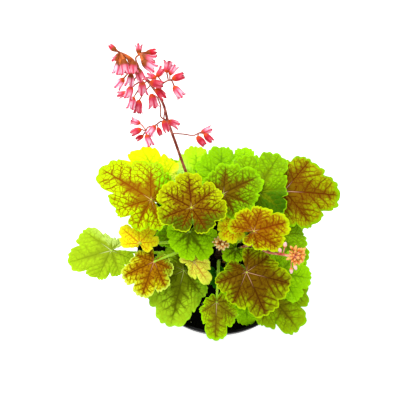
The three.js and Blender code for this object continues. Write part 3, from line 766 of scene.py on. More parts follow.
# %% The relief of a blade
SIDE_SLANT = 0.8
SIDE_BEND = 0.03
SIDE_SLOPE = 0.72
SIDE_SPACING = 0.17
ARCH = 0.1
PLEAT = 0.035
WAVE = 0.04
WAVE_TURNS = 2.5
QUILT_HEIGHT = 0.75
QUILT_WIDTH = 2.6
FRILL = 0.018
FRILL_TURNS = 17


def vein_distances(angle, share, leaf):
    """Distances in millimetres to the nearest main vein and to the nearest side vein."""
    reach = max(leaf["lobes"])
    turn = angle / leaf["spread"]
    off = turn - np.round(turn)
    across = np.abs(off) * share * math.radians(leaf["spread"]) * reach
    spacing = SIDE_SPACING * reach
    forward = SIDE_SLANT * across + SIDE_BEND * across**2
    along = (share * reach - forward) / spacing + np.where(off > 0, 0.5, 0.0)
    side = np.abs(along - np.floor(along) - 0.5) * spacing * SIDE_SLOPE
    return across, side


def blade_height(angle, share, leaf):
    """The blade's own height: it arches down, is pleated along its veins and waves at its margin."""
    size = max(leaf["lobes"])
    arch = -ARCH * share**2
    pleat = -PLEAT * share * np.cos(math.tau * angle / leaf["spread"])
    wave = leaf.get("wave", WAVE) * share**2 * np.sin(np.radians(WAVE_TURNS * angle + leaf["phase"]))
    frill = FRILL * share**6 * np.sin(np.radians(FRILL_TURNS * angle + 2 * leaf["phase"]))
    main, side = vein_distances(angle, share, leaf)
    quilt = (1 - np.exp(-main / QUILT_WIDTH)) * (1 - np.exp(-side / (0.5 * QUILT_WIDTH)))
    return size * (arch + pleat + wave + frill) + QUILT_HEIGHT * quilt * np.minimum(1, 4 * share)


# %% Build a blade
BLADE_THICKNESS = 0.45
BLADE_ROWS = 22
COLUMNS_PER_TOOTH = 6
ROW_BUNCHING = 0.85
UNDERSIDE_TILT = -0.15
TOP_SIDE, UNDERSIDE, STEM, HAIR = range(4)


def build_blade(leaf):
    """A blade in its own frame: the hub at the origin and the tip along +X."""
    bm = bmesh.new()
    columns = COLUMNS_PER_TOOTH * teeth_of(leaf) * LOBES
    lobe_map = bm.loops.layers.uv.new("lobes")
    flat_map = bm.loops.layers.uv.new("flat")
    bmesh.ops.create_grid(bm, x_segments=columns, y_segments=BLADE_ROWS, size=1.0)
    grid = np.array([vert.co[:2] for vert in bm.verts])
    angle = grid[:, 0] * leaf["spread"] * LOBES / 2
    share = ((grid[:, 1] + 1) / 2) ** ROW_BUNCHING
    reach = share * margin_reach(angle, leaf)
    places = np.column_stack([
        reach * np.cos(np.radians(angle)), reach * np.sin(np.radians(angle)), blade_height(angle, share, leaf)
    ])
    for vert, place in zip(bm.verts, places):
        vert.co = place
    bm.verts.index_update()
    for face in bm.faces:
        for loop in face.loops:
            i = loop.vert.index
            loop[lobe_map].uv = (angle[i] / leaf["spread"], share[i])
            loop[flat_map].uv = (places[i][0] / 10, places[i][1] / 10)
    bmesh.ops.remove_doubles(bm, verts=bm.verts, dist=1e-4)
    bmesh.ops.recalc_face_normals(bm, faces=bm.faces)
    if sum(face.normal.z for face in bm.faces) < 0:
        bmesh.ops.reverse_faces(bm, faces=bm.faces)
    bmesh.ops.solidify(bm, geom=bm.faces[:], thickness=BLADE_THICKNESS)
    for face in bm.faces:
        face.material_index = UNDERSIDE if face.normal.z < UNDERSIDE_TILT else TOP_SIDE
    return bm


# %% [markdown]
# ## Petioles
#
# A petiole leaves the soil upright and bends over to meet the blade from below. It is thicker at its
# foot, flares where it meets the blade, and is hairy all along. One cubic curve from the foot to the hub
# gives that bend, and its two inner points are found from the two ends.

# %% Build a petiole
STEM_DEPTH = 5.5
STEM_COLLAR = 1.0
PETIOLE_STEPS = 18
PETIOLE_SIDES = 10
PETIOLE_FOOT_RADIUS = 1.5
PETIOLE_TOP_RADIUS = 0.95
PETIOLE_RISE = 0.45
PETIOLE_LIFT = 0.35
PETIOLE_REACH = 0.35
PETIOLE_FLARE = 1.25
PETIOLE_HAIRS = 130
PETIOLE_HAIR_LENGTH = 1.3


def petiole_path(leaf):
    distance, bearing = leaf["foot"]
    foot = turned(distance, math.radians(bearing), -STEM_DEPTH)
    ground = Vector((foot.x, foot.y, STEM_COLLAR))
    end = Vector(leaf["hub"]) - Vector((0, 0, BLADE_THICKNESS))
    run = end - ground
    arrival = (run.normalized() + Vector((0, 0, leaf.get("lift", PETIOLE_LIFT)))).normalized()
    rise = ground + Vector((0, 0, leaf.get("rise", PETIOLE_RISE) * run.z))
    turn_in = end - arrival * PETIOLE_REACH * run.length
    path = [foot]
    for i in range(PETIOLE_STEPS + 1):
        t = i / PETIOLE_STEPS
        s = 1 - t
        path.append(ground * s**3 + rise * 3 * s * s * t + turn_in * 3 * s * t * t + end * t**3)
    return path


def add_petiole(bm, leaf):
    path = petiole_path(leaf)
    radii = evenly(PETIOLE_FOOT_RADIUS, PETIOLE_TOP_RADIUS, len(path))
    radii[-1] *= PETIOLE_FLARE
    draw_stem(bm, path, radii, PETIOLE_SIDES, STEM)
    add_hairs(bm, path, radii, PETIOLE_HAIRS, PETIOLE_HAIR_LENGTH, HAIR)


# %% [markdown]
# ## The leaves' finish
#
# Heuchera leaves are painted by their veins. Red-brown colour fills the veins, bleeds out of them near
# the hub and thins out towards a lime margin. A paint names those colours and how far each one goes:
#
# - field: the blade between its veins, and heart: the colour that bleeds from the veins, and how far out;
# - vein: the colour in the veins, with the strength of the main veins, the side veins and the fine net,
#   and how far out they stay coloured;
# - rim: the margin's colour and its width in millimetres;
# - star: the pale main veins close to the hub, and how far they go.

# %% Leaf paints
PAINT_KEYS = ("field", "heart", "bleed", "vein", "strength", "fade", "rim", "width", "star", "star_reach")
VEINED_PAINTS = {
    "lime_net": ("b8c400", "8c6400", 0.68, "643000", (1.0, 0.92, 0.65), 0.93, "ccec00", 0.7, "dcc060", 0.22),
    "amber": ("b8a400", "9c6400", 0.75, "803800", (0.95, 0.85, 0.6), 0.95, "c4e400", 2.2, "e4b870", 0.28),
    "citrus_net": ("c4e000", "966400", 0.58, "8c4c00", (1.0, 0.95, 0.75), 1.0, "b0f000", 1.4, "ecd070", 0.3),
    "jade": ("80b000", "745400", 0.6, "583c00", (0.9, 0.75, 0.6), 0.9, "98dc00", 2.0, "c8b070", 0.2),
}
RIPE_PAINTS = {
    "umber": ("90a000", "704c00", 0.88, "502800", (0.9, 0.75, 0.4), 1.0, "b4e000", 0.9, "e0b080", 0.4),
    "russet": ("a8a800", "805800", 0.78, "6c3000", (0.95, 0.85, 0.6), 0.97, "90cc00", 2.4, "f0c0a0", 0.4),
    "ember": ("d4d400", "a86c00", 0.8, "743c00", (0.9, 0.8, 0.6), 1.0, "d8f450", 1.4, "e8a070", 0.3),
}
GREEN_PAINTS = {
    "grass": ("80b000", "788c00", 0.45, "647c00", (0.75, 0.6, 0.4), 0.9, "98dc00", 1.2, "b8d060", 0.2),
    "bright": ("9cdc00", "647800", 0.45, "506400", (0.6, 0.45, 0.3), 0.85, "a8ec00", 1.2, "a0c050", 0.2),
    "fern": ("80bc00", "5c7800", 0.5, "4c6400", (0.75, 0.55, 0.3), 0.85, "88d000", 1.2, "a0c050", 0.2),
    "moss": ("94b800", "807c00", 0.65, "605c00", (0.8, 0.65, 0.35), 0.9, "98d800", 1.4, "a8c050", 0.2),
    "olive": ("a4cc18", "647000", 0.65, "505800", (0.8, 0.7, 0.5), 0.85, "a8e420", 1.8, "c0c868", 0.3),
    "bronze": ("a0c400", "888008", 0.74, "644800", (0.7, 0.6, 0.4), 0.95, "a0e800", 1.6, "e0c090", 0.3),
    "pale": ("a8cc18", "94ac18", 0.5, "88a010", (0.7, 0.45, 0.2), 0.9, "b0e810", 1.2, "dce0a0", 0.3),
    "spring": ("b4f010", "94cc08", 0.45, "74a808", (0.7, 0.5, 0.2), 0.75, "b8f810", 1.2, "d8f080", 0.3),
    "lawn": ("98d800", "7cac00", 0.5, "649400", (0.7, 0.5, 0.25), 0.8, "a4ec00", 1.2, "b8e060", 0.2),
    "mown": ("88c400", "6c9c00", 0.5, "588400", (0.7, 0.5, 0.25), 0.8, "94d800", 1.2, "b8e060", 0.2),
    # shade: a dark green that is painted shade, for a leaf low down among the others.
    "shade": ("2c8008", "286008", 0.3, "2c5408", (0.6, 0.4, 0.3), 0.8, "40a010", 1.0, "70a040", 0.2),
}
YELLOW_PAINTS = {
    "lemon": ("dcf000", "b0d800", 0.45, "a0bc00", (0.75, 0.5, 0.3), 0.85, "f0f810", 1.2, "f4ec60", 0.3),
    "honey": ("fcf410", "fff010", 0.3, "e07c10", (0.8, 0.6, 0.3), 0.85, "f4f828", 1.2, "f8e080", 0.2),
    "straw": ("f8fc50", "fcf050", 0.45, "d89028", (0.85, 0.55, 0.25), 0.85, "e4fc40", 1.2, "f0d0a0", 0.3),
    "flame": ("fffc10", "fff000", 0.35, "e05800", (1.0, 0.75, 0.3), 0.85, "f0fc10", 1.6, "f8d080", 0.2),
}
SLOT_PAINTS = {
    "leaf_veined": VEINED_PAINTS,
    "leaf_ripe": RIPE_PAINTS,
    "leaf_green": GREEN_PAINTS,
    "leaf_yellow": YELLOW_PAINTS,
}
LEAF_PAINTS = {
    name: dict(zip(PAINT_KEYS, row), slot=slot)
    for slot, paints in SLOT_PAINTS.items()
    for name, row in paints.items()
}
UNDERSIDE_TONE = "b8cc90"
UNDERSIDE_PALER = 0.45


def paler(code):
    """A colour as it looks on a leaf's pale, matt underside."""
    return tuple(c + (u - c) * UNDERSIDE_PALER for c, u in zip(paint(code), paint(UNDERSIDE_TONE)))


print("leaf paints:", len(LEAF_PAINTS))

# %% [markdown]
# The blade carries two maps. The map "lobes" says which lobe a point is in and how far out it is, and the
# map "flat" is the blade pressed flat, in centimetres. The first draws the main and side veins, the second
# the fine net, and noise on both keeps any line from being straight.

# %% The lines of the veins
WOBBLE = 1.2
SIDE_DRIFT = 2.4
NET_CELLS = 18.0
FULL_REACH = 36.0
MAIN_LINE = (0.3, 0.9)
SIDE_LINE = (0.18, 0.65)
NET_LINE = (0.07, 0.4)


class Veins:
    """Soft lines of a leaf's veins, from 0 to 1, and the distances in millimetres behind them."""

    def __init__(self, recipe, leaf):
        reach = float(max(leaf["lobes"]))
        self.flat = recipe.map("flat")
        self.lobe, self.share, _ = recipe.split(recipe.map("lobes"))
        self.nearest = recipe.calc("ROUND", self.lobe)
        wobble = (recipe.noise(self.flat, 1.4) - 0.5) * WOBBLE * recipe.ramp(self.share, 0.05, 0.5)
        drift = (recipe.noise(self.flat, 0.6, 1.0) - 0.5) * SIDE_DRIFT
        off = self.lobe - self.nearest
        self.out = self.share * reach
        self.across = abs(off * self.out * math.radians(leaf["spread"]) + wobble)
        left = recipe.calc("GREATER_THAN", off, 0.0) * 0.5
        spacing = SIDE_SPACING * reach
        forward = self.across * SIDE_SLANT + self.across * self.across * SIDE_BEND
        along = (self.out - forward + drift) / spacing + left + 20.0
        self.aside = abs(recipe.calc("FRACT", along) - 0.5) * (spacing * SIDE_SLOPE)
        self.cells = recipe.net(self.flat, NET_CELLS / math.sqrt(reach)) * 10.0
        fine = min(1.0, reach / FULL_REACH) ** 0.7
        main_line, side_line, net_line = [
            (core * fine, width * fine) for core, width in (MAIN_LINE, SIDE_LINE, NET_LINE)
        ]
        self.main = recipe.near(self.across / (1.3 - self.share * 0.8), *main_line)
        self.side = recipe.near(self.aside, *side_line) * recipe.ramp(self.share, 0.05, 0.2)
        self.net = recipe.near(self.cells, *net_line) * recipe.ramp(self.share, 0.1, 0.35)


# %% [markdown]
# The finish is laid on in coats, as a painter would, from the widest to the finest: the field and the
# islands between the veins, the tints, the stain that bleeds from the veins, the lines of the veins, the
# rim and the pale star at the hub. The islands are lighter partly in the leaf's own colour and partly as
# painted highlight on the bulges of the quilted blade; a few tints are painted shade and a few painted
# sheen. A picture of a leaf could be laid over the blade instead, but coats that follow the veins fit
# every size and shape of leaf. The underside takes the same coats, paler.

# %% The leaf finish
ISLAND_AND_HIGHLIGHT_COAT = 0.45
TINT_SHADE_SHEEN_COAT = 0.9
STAIN_COAT = 0.92
RIM_COAT = 0.9
STAR_COAT = 0.75
HUB_COAT = 0.8
MATT_TOP = 0.54
MATT_UNDERSIDE = 0.75


def leaf_finish(name, leaf, colours, under=False):
    recipe = Recipe(name)
    reach = float(max(leaf["lobes"]))
    tone = paler if under else paint
    veins = Veins(recipe, leaf)
    mottle = recipe.noise(veins.flat, 1.1, 3.0) - 0.5
    outward = veins.share + mottle * 0.22

    # Islands: each cell of the fine net is mixed towards the rim colour in its middle. This is partly the
    # leaf's own paler tissue and partly painted highlight on the bulge of the quilted blade.
    islands_and_highlight = recipe.ramp(veins.cells, 0.3, 1.3) * recipe.ramp(veins.share, 0.2, 0.7)
    colour = recipe.mix(islands_and_highlight * ISLAND_AND_HIGHLIGHT_COAT, tone(colours["field"]), tone(colours["rim"]))
    # Side and base tints: painted shade on leaves 1 and 7, and a painted pale sheen on leaves 12 and 18.
    for part, lobe in (("side", veins.lobe), ("base", abs(veins.lobe))):
        if part in leaf:
            tint_shade_sheen, start, end = leaf[part]
            colour = recipe.mix(recipe.ramp(lobe, start, end) * TINT_SHADE_SHEEN_COAT, colour, tone(tint_shade_sheen))

    by_main = recipe.near(veins.across, 0.4, 0.12 * reach)
    by_side = recipe.near(veins.aside, 0.2, 0.05 * reach)
    bleed = colours["bleed"]
    stain = recipe.near(outward - by_main * 0.28 - by_side * 0.12, bleed - 0.4, bleed)
    colour = recipe.mix(stain * STAIN_COAT, colour, tone(colours["heart"]))

    strengths = zip((veins.main, veins.side, veins.net), colours["strength"])
    main, side, net = [line * strength for line, strength in strengths]
    lines = recipe.calc("MAXIMUM", recipe.calc("MAXIMUM", main, side), net)
    faded = recipe.near(outward, colours["fade"] - 0.15, colours["fade"] + 0.05)
    colour = recipe.mix(lines * faded, colour, tone(colours["vein"]))

    width = colours["width"] / reach
    rim = recipe.ramp(veins.share + mottle * 0.06, 1.0 - 2.2 * width, 1.0 - 0.5 * width)
    colour = recipe.mix(rim * RIM_COAT, colour, tone(colours["rim"]))

    lobe_number = recipe.node("CombineXYZ", {0: veins.nearest * 7.7, 1: leaf["phase"]}).outputs[0]
    length = (recipe.ramp(recipe.noise(lobe_number, 1.0), 0.35, 0.6) + 0.3) * colours["star_reach"]
    star = recipe.near(veins.across, 0.1, 0.45) * recipe.near(veins.share / length, 0.3, 1.0)
    colour = recipe.mix(star * STAR_COAT, colour, tone(colours["star"]))
    colour = recipe.mix(recipe.near(veins.out, 0.5, 1.4) * HUB_COAT, colour, tone(colours["rim"]))

    sunk = veins.main * 0.6 + veins.side * 0.3 + veins.net * 0.35
    height = sunk if under else 1.0 - sunk
    roughness = mottle * 0.16 + (MATT_UNDERSIDE if under else MATT_TOP)
    return recipe.finish(colour, roughness, recipe.bump(height, 0.0004), specular=0.03)


# %% The finish of petioles and hairs
FLUSH_HEIGHTS = (0.122, 0.102)


def petiole_finish():
    """Green above and flushed brown towards the soil, between two heights in metres."""
    recipe = Recipe("petiole")
    place = recipe.object_place()
    height = recipe.split(place)[2]
    flushed = recipe.ramp(height + recipe.noise(place, 60.0) * 0.02, *FLUSH_HEIGHTS)
    colour = recipe.mix(flushed, paint("b0e020"), paint("a08840"))
    streaks = recipe.ramp(recipe.noise(place, 500.0, 3.0), 0.45, 0.7)
    colour = recipe.mix(streaks * 0.4, colour, paint("d0e880"))
    return recipe.finish(colour, 0.6, recipe.bump(streaks, 0.0002), specular=0.2)


def hair_finish():
    recipe = Recipe("hair")
    shine = recipe.ramp(recipe.noise(recipe.object_place(), 300.0), 0.3, 0.7)
    return recipe.finish(recipe.mix(shine, paint("c8d090"), paint("e8ecc8")), 0.6, specular=0.2)


# %% Make the leaves
petiole_paint = petiole_finish()
hair_paint = hair_finish()


def leaf_matrix(leaf):
    heading = Matrix.Rotation(math.radians(leaf["heading"]), 4, "Z")
    dip = Matrix.Rotation(math.radians(leaf["dip"]), 4, "Y")
    return Matrix.Translation(leaf["hub"]) @ heading @ dip


def make_leaf(index, row):
    name = f"leaf_{index + 1:02d}"
    leaf = {**row, "phase": 360 * draw(index)}
    colours = LEAF_PAINTS[leaf["paint"]]
    random.seed(100 + index)
    bm = build_blade(leaf)
    bmesh.ops.transform(bm, matrix=leaf_matrix(leaf), verts=bm.verts)
    add_petiole(bm, leaf)
    bmesh.ops.translate(bm, vec=(0, 0, SOIL_HEIGHT), verts=bm.verts)
    finishes = [
        leaf_finish(name + "_top", leaf, colours),
        leaf_finish(name + "_under", leaf, colours, under=True),
        petiole_paint,
        hair_paint,
    ]
    return make_piece(name + "_blade_and_petiole", bm, finishes, [name])


leaf_pieces = [make_leaf(i, row) for i, row in enumerate(LEAVES)]
print("leaf faces:", sum(len(piece.data.polygons) for piece in leaf_pieces))

# %% [markdown]
# ## The crown
#
# All petioles spring from a short woody crown, rough with the scales of old leaves. Little of it shows, so
# a spun stub with noise on its surface is enough.

# %% The crown
CROWN_RADIUS = 4.4
CROWN_HEIGHT = 9.0
CROWN_DEPTH = 5
CROWN_OUTLINE = [
    (0, -CROWN_DEPTH), (1, -CROWN_DEPTH), (1, 1), (0.9, 4), (0.78, 6.5), (0.5, CROWN_HEIGHT - 0.6),
    (0.2, CROWN_HEIGHT), (0, CROWN_HEIGHT),
]
CROWN_STEPS = 28
BARK_RELIEF = 0.35
BARK_GRAIN = 1.3


def bark():
    recipe = Recipe("bark")
    place = recipe.object_place()
    cracks = recipe.ramp(recipe.net(place, 700.0), 0.0, 0.0004)
    colour = recipe.mix(cracks, paint("2a1a10"), paint("6c4a32"))
    return recipe.finish(colour, 0.85, recipe.bump(cracks, 0.0006), specular=0.2)


def crown_bmesh():
    bm = spun([(share * CROWN_RADIUS, height) for share, height in CROWN_OUTLINE], CROWN_STEPS)
    bmesh.ops.subdivide_edges(bm, edges=bm.edges, cuts=1, use_grid_fill=True)
    for vert in bm.verts:
        flat = Vector((vert.co.x, vert.co.y, 0))
        if flat.length > 0.1:
            vert.co += flat.normalized() * BARK_RELIEF * (noise.noise(vert.co / BARK_GRAIN) - 0.6)
    bmesh.ops.translate(bm, vec=(0, 0, SOIL_HEIGHT), verts=bm.verts)
    return bm


crown_piece = make_piece("crown_stub", crown_bmesh(), [bark()], ["crown"])
print("crown:", len(crown_piece.data.polygons), "faces")

# %% [markdown]
# ## The bells
#
# A heuchera flower is a small bell: a green-orange cup that widens into a coral tube and ends in five
# pointed lobes, with stamens inside. It could be five petals joined at their edges, but a bell that is
# spun from its profile and then drawn in between its lobes has no seams. Three values travel with its
# vertices: "along" runs from its stem to its mouth, "rib" is 1 along the middle of each lobe, and "blush"
# says how pale the bell is.

# %% One bell
BELL_STEPS = 20
BELL_WALL = 0.16
BELL_PROFILE = [
    (0.0, -0.06), (0.09, -0.055), (0.17, 0.03), (0.235, 0.15), (0.275, 0.3), (0.29, 0.48), (0.285, 0.64),
    (0.29, 0.78), (0.315, 0.88), (0.36, 1.0),
]
MOUTH_START = 0.62
BELL_LAYERS = ("along", "rib", "blush")
OPEN_MOUTH = (0.0, 0.35)
CLOSED_MOUTH = (-0.5, -0.2)
CLOSED_BLUSH = 0.25
NOTCH_BACK = 0.36
STAMENS = 5
STAMEN_RADII = (0.09, 0.08, 0.07)
ANTHER_RADIUS = 0.24
BROWN_HEIGHTS = (0.318, 0.332)
BELL, FILAMENT, ANTHER, RACHIS, STALK_HAIR = range(5)


def bell_mesh(length, mouth_open):
    """A bell that opens along +Z from its stem at the origin, with its stamens."""
    points = [(radius * length, height * length) for radius, height in BELL_PROFILE]
    bm = spun(points, BELL_STEPS)
    along, rib, _ = [bm.verts.layers.float.new(name) for name in BELL_LAYERS]
    for vert in bm.verts:
        height = vert.co.z / length
        rise = max(0.0, (height - MOUTH_START) / (1 - MOUTH_START))
        angle = math.atan2(vert.co.y, vert.co.x)
        lobe = abs(math.cos(2.5 * angle))
        vert.co.z -= length * rise * NOTCH_BACK * (1 - lobe**0.8)
        vert[along] = vert.co.z / length
        vert[rib] = lobe
        spread = 1 + rise * ((0.12 + mouth_open) * lobe - 0.12)
        fold = 1 + 0.05 * math.cos(5 * angle) * min(1.0, max(0.0, height * 3))
        vert.co.x *= spread * fold
        vert.co.y *= spread * fold
    bmesh.ops.solidify(bm, geom=bm.faces[:], thickness=BELL_WALL)
    for i in range(STAMENS):
        angle = math.tau * (i + 0.5) / STAMENS
        foot = turned(0.08 * length, angle, 0.3 * length)
        head = turned(0.15 * length, angle, (0.86 + 0.1 * (i % 2)) * length)
        for face in draw_stem(bm, [foot, foot.lerp(head, 0.5), head], STAMEN_RADII, 4, FILAMENT):
            for vert in face.verts:
                vert[along] = 0.5
        ball = bmesh.ops.create_icosphere(
            bm, subdivisions=1, radius=ANTHER_RADIUS, matrix=Matrix.Translation(head)
        )
        give_material(ball, ANTHER)
    mesh = bpy.data.meshes.new("bell")
    bm.to_mesh(mesh)
    bm.free()
    return mesh


def bell_finish():
    recipe = Recipe("bell")
    along, rib, blush = [recipe.attribute(name) for name in BELL_LAYERS]
    place = recipe.object_place()
    up = along + (recipe.noise(place, 420.0) - 0.5) * 0.25
    brown = recipe.ramp(recipe.split(place)[2], *BROWN_HEIGHTS)
    base = recipe.mix(brown, paint("d84c10"), paint("944408"))
    body = recipe.mix(blush, paint("c80018"), paint("fc648c"))
    midrib = recipe.mix(blush, paint("980010"), paint("e03050"))
    mouth = recipe.mix(blush, paint("f03c5c"), paint("ffdcf0"))
    tip = recipe.mix(blush, paint("840814"), paint("d02040"))
    colour = recipe.mix(recipe.ramp(up - brown * 0.12, 0.05, 0.3), base, body)
    between = recipe.ramp(rib, 0.95, 0.6)
    colour = recipe.mix(recipe.ramp(up + blush * 0.25, 0.35, 0.75) * between, colour, mouth)
    colour = recipe.mix(recipe.ramp(rib, 0.93, 0.99) * recipe.ramp(along, 0.2, 0.5) * 0.8, colour, midrib)
    colour = recipe.mix(recipe.ramp(along, 0.84, 0.95), colour, tip)
    return recipe.finish(colour, 0.5, recipe.bump(recipe.noise(place, 1500.0), 0.0002), specular=0.2)


def plain_finish(name, dark, light, scale, roughness):
    recipe = Recipe(name)
    place = recipe.object_place()
    share = recipe.ramp(recipe.noise(place, scale, 3.0), 0.35, 0.7)
    colour = recipe.mix(share, paint(dark), paint(light))
    return recipe.finish(colour, roughness, recipe.bump(share, 0.0002), specular=0.3)


# %% [markdown]
# ## The open flower stalk
#
# The stalk and its branches are curves through the points of a table. Each bell hangs from the nearest
# point of its branch by a stem of its own. A bell's row gives its top, the way its mouth looks, how far
# it looks down, its length, and its blush: 0 for a deep coral bell and 1 for a pale pink one. Narrow buds
# that haven't opened yet crowd among the topmost bells, and for each of them its tip is given.

# %% The stalk's table
STALK_RADII = (1.4, 0.6)
BRANCH_RADIUS = 0.5
PEDICEL_RADIUS = 0.48
FLOWER_STALK = [
    {"points": [(-7, 3, -5.5), (-8, 6, 18), (-13, 19, 50), (-26, 40, 88), (-33, 47, 131), (-37, 51, 156),
                (-39, 52, 181), (-44, 51, 204), (-49, 50, 222), (-53, 49, 240), (-59, 44, 256)],
     "radii": STALK_RADII,
     "bells": [((-60, 44, 257), 133, 10, 5.0, 0.1), ((-59, 49, 245), -155, 50, 6.0, 0.3),
               ((-59, 43, 247), -107, 32, 7.5, 1.0), ((-56, 41, 252), -80, 36, 8.0, 0.6),
               ((-51, 41, 251), -87, 36, 7.0, 0.4), ((-49, 40, 244), -66, 30, 8.0, 0.4),
               ((-59, 43, 228), -141, 36, 7.0, 1.0), ((-53, 39, 240), -106, 42, 7.0, 0.9),
               ((-59, 43, 211), 177, 30, 6.0, 0.3), ((-55, 41, 222), -113, 30, 7.5, 0.8),
               ((-55, 41, 209), -107, 28, 7.5, 0.8), ((-52, 41, 205), -96, 27, 8.0, 0.3),
               ((-48, 41, 228), -87, 34, 8.0, 0.6), ((-44, 47, 217), -8, 12, 8.0, 0.2),
               ((-42, 55, 208), 144, 20, 6.0, 0.4), ((-36, 47, 165), -19, 13, 8.0, 0.4),
               ((-39, 44, 171), -67, 26, 8.0, 0.2)]},
    {"points": [(-50, 50, 228), (-51, 51, 238), (-48, 51, 242)],
     "bells": [((-49, 52, 241), 92, 0, 5.5, 0.4), ((-45, 54, 238), 18, 9, 6.0, 0.0),
               ((-47, 47, 245), -10, 13, 8.5, 0.4), ((-46, 43, 247), -26, 25, 8.5, 0.7)]},
    {"points": [(-41, 52, 192), (-38, 53, 204), (-35, 53, 208), (-32, 52, 211)],
     "bells": [((-41, 57, 207), 56, -3, 6.5, 0.3), ((-35, 57, 212), 78, -29, 7.0, 0.5),
               ((-33, 56, 211), 58, -15, 6.5, 0.9), ((-31, 51, 214), 20, -2, 7.5, 0.1),
               ((-30, 45, 215), -47, 29, 8.0, 0.8), ((-41, 45, 212), -39, 27, 8.0, 0.1)]},
    {"points": [(-37, 51, 158), (-41, 49, 167), (-40, 47, 187), (-41, 45, 202)],
     "bells": [((-44, 43, 209), -78, 33, 8.5, 0.4)]},
    {"points": [(-37, 51, 158), (-42, 47, 164), (-45, 45, 163), (-50, 44, 162), (-52, 42, 159)],
     "bells": [((-56, 49, 158), 166, -10, 6.5, 0.7), ((-55, 43, 161), -158, 10, 7.5, 0.2),
               ((-54, 41, 155), -155, 16, 5.5, 0.1), ((-51, 39, 160), -65, 30, 8.0, 0.9),
               ((-45, 42, 168), -129, 23, 7.5, 0.9), ((-43, 42, 165), -67, 30, 5.5, 0.1)]},
    {"points": [(-35, 49, 142), (-27, 48, 143), (-20, 47, 143), (-16, 47, 147)],
     "bells": [((-14, 47, 148), 20, -4, 7.5, 0.7), ((-17, 42, 151), -44, 24, 8.0, 0.1),
               ((-12, 44, 151), -41, 20, 7.5, 0.1)]},
]

CLUSTER_BUDS = [
    (-60.5, 41, 251), (-57.5, 38.5, 250.5), (-54, 38, 249.5), (-51, 38.5, 248), (-48.5, 40.5, 246.5),
    (-55.5, 40.5, 245),
]
print("bells:", sum(len(branch["bells"]) for branch in FLOWER_STALK), "narrow buds:", len(CLUSTER_BUDS))

# %% [markdown]
# A bell's own stem leaves the branch and rises a little on its way to the bell. Among the topmost bells
# these stems are drawn thicker towards the bell. A narrow bud is drawn as a stem too, and made club-shaped
# by its radii, one for each of a few shares of the way to its tip.

# %% Build the flower stalk
CURVE_STEPS = 6
STALK_SIDES = 9
CLUSTER_HEIGHT = 237.0
CLUSTER_SWELLING = 2.2
SWELLING_SHARES = (0.2, 0.7, 1.0)
CLUSTER_BUD_SHARES = (0.0, 0.4, 0.65, 0.88, 1.0)
CLUSTER_BUD_RADII = (0.45, 0.6, 1.05, 1.15, 0.5)
STALK_HAIRS = 420
BRANCH_HAIRS = 40
STALK_HAIR_LENGTH = 0.9
ORANGE_HEIGHTS = (0.3, 0.335)


def nearest(path, place):
    return min(path, key=lambda p: (p - place).length)


def add_bell(bm, top, facing, nod, length, blush):
    level = math.cos(math.radians(nod))
    mouth = turned(level, math.radians(facing), -math.sin(math.radians(nod)))
    opening = CLOSED_MOUTH if blush < CLOSED_BLUSH else OPEN_MOUTH
    mesh = bell_mesh(length, random.uniform(*opening))
    first = len(bm.verts)
    bm.from_mesh(mesh)
    bpy.data.meshes.remove(mesh)
    bm.verts.ensure_lookup_table()
    fresh = bm.verts[first:]
    turn = Vector((0, 0, 1)).rotation_difference(mouth) @ Quaternion((0, 0, 1), random.uniform(0, math.tau))
    bmesh.ops.transform(bm, matrix=Matrix.LocRotScale(top, turn, None), verts=fresh)
    layer = bm.verts.layers.float["blush"]
    for vert in fresh:
        vert[layer] = blush


def flower_stalk():
    random.seed(77)
    bm = bmesh.new()
    for name in BELL_LAYERS:
        bm.verts.layers.float.new(name)
    for branch in FLOWER_STALK:
        path = through(branch["points"], CURVE_STEPS)
        thick, thin = branch.get("radii", (BRANCH_RADIUS, BRANCH_RADIUS))
        radii = evenly(thick, thin, len(path))
        draw_stem(bm, path, radii, STALK_SIDES, RACHIS)
        hairs = STALK_HAIRS if "radii" in branch else BRANCH_HAIRS
        add_hairs(bm, path, radii, hairs, STALK_HAIR_LENGTH, STALK_HAIR)
        for place, facing, nod, length, blush in branch["bells"]:
            top = Vector(place)
            start = nearest(path, top)
            middle = start.lerp(top, 0.55) + Vector((0, 0, 0.12 * (top - start).length))
            swelling = CLUSTER_SWELLING if top.z > CLUSTER_HEIGHT else 1.0
            radii_up = [PEDICEL_RADIUS * (1 + (swelling - 1) * share) for share in SWELLING_SHARES]
            draw_stem(bm, [start, middle, top], radii_up, 6, RACHIS)
            add_bell(bm, top, facing, nod, length, blush)
    main_path = through(FLOWER_STALK[0]["points"], CURVE_STEPS)
    for tip in [Vector(place) for place in CLUSTER_BUDS]:
        start = nearest(main_path, tip)
        bud = [start.lerp(tip, share) for share in CLUSTER_BUD_SHARES]
        draw_stem(bm, bud, CLUSTER_BUD_RADII, 8, RACHIS)
    bmesh.ops.translate(bm, vec=(0, 0, SOIL_HEIGHT), verts=bm.verts)
    return bm


def stem_finish():
    """Red-brown low down and orange among the bells."""
    recipe = Recipe("flower_stem")
    place = recipe.object_place()
    streaks = recipe.ramp(recipe.noise(place, 180.0, 3.0), 0.35, 0.7)
    high = recipe.ramp(recipe.split(place)[2], *ORANGE_HEIGHTS)
    dark = recipe.mix(high, paint("7c1c1c"), paint("983c10"))
    light = recipe.mix(high, paint("c06c5c"), paint("d87030"))
    return recipe.finish(recipe.mix(streaks, dark, light), 0.5, recipe.bump(streaks, 0.0002), specular=0.2)


flower_paints = [
    bell_finish(),
    plain_finish("filament", "f0b0a8", "ffd8d0", 500.0, 0.5),
    plain_finish("anther", "7c1818", "c04828", 900.0, 0.6),
    stem_finish(),
    hair_paint,
]
flower_piece = make_piece(
    "flower_stalk_with_bells", flower_stalk(), flower_paints, ["flower_stalk"]
)
print("flower stalk:", len(flower_piece.data.polygons), "faces")

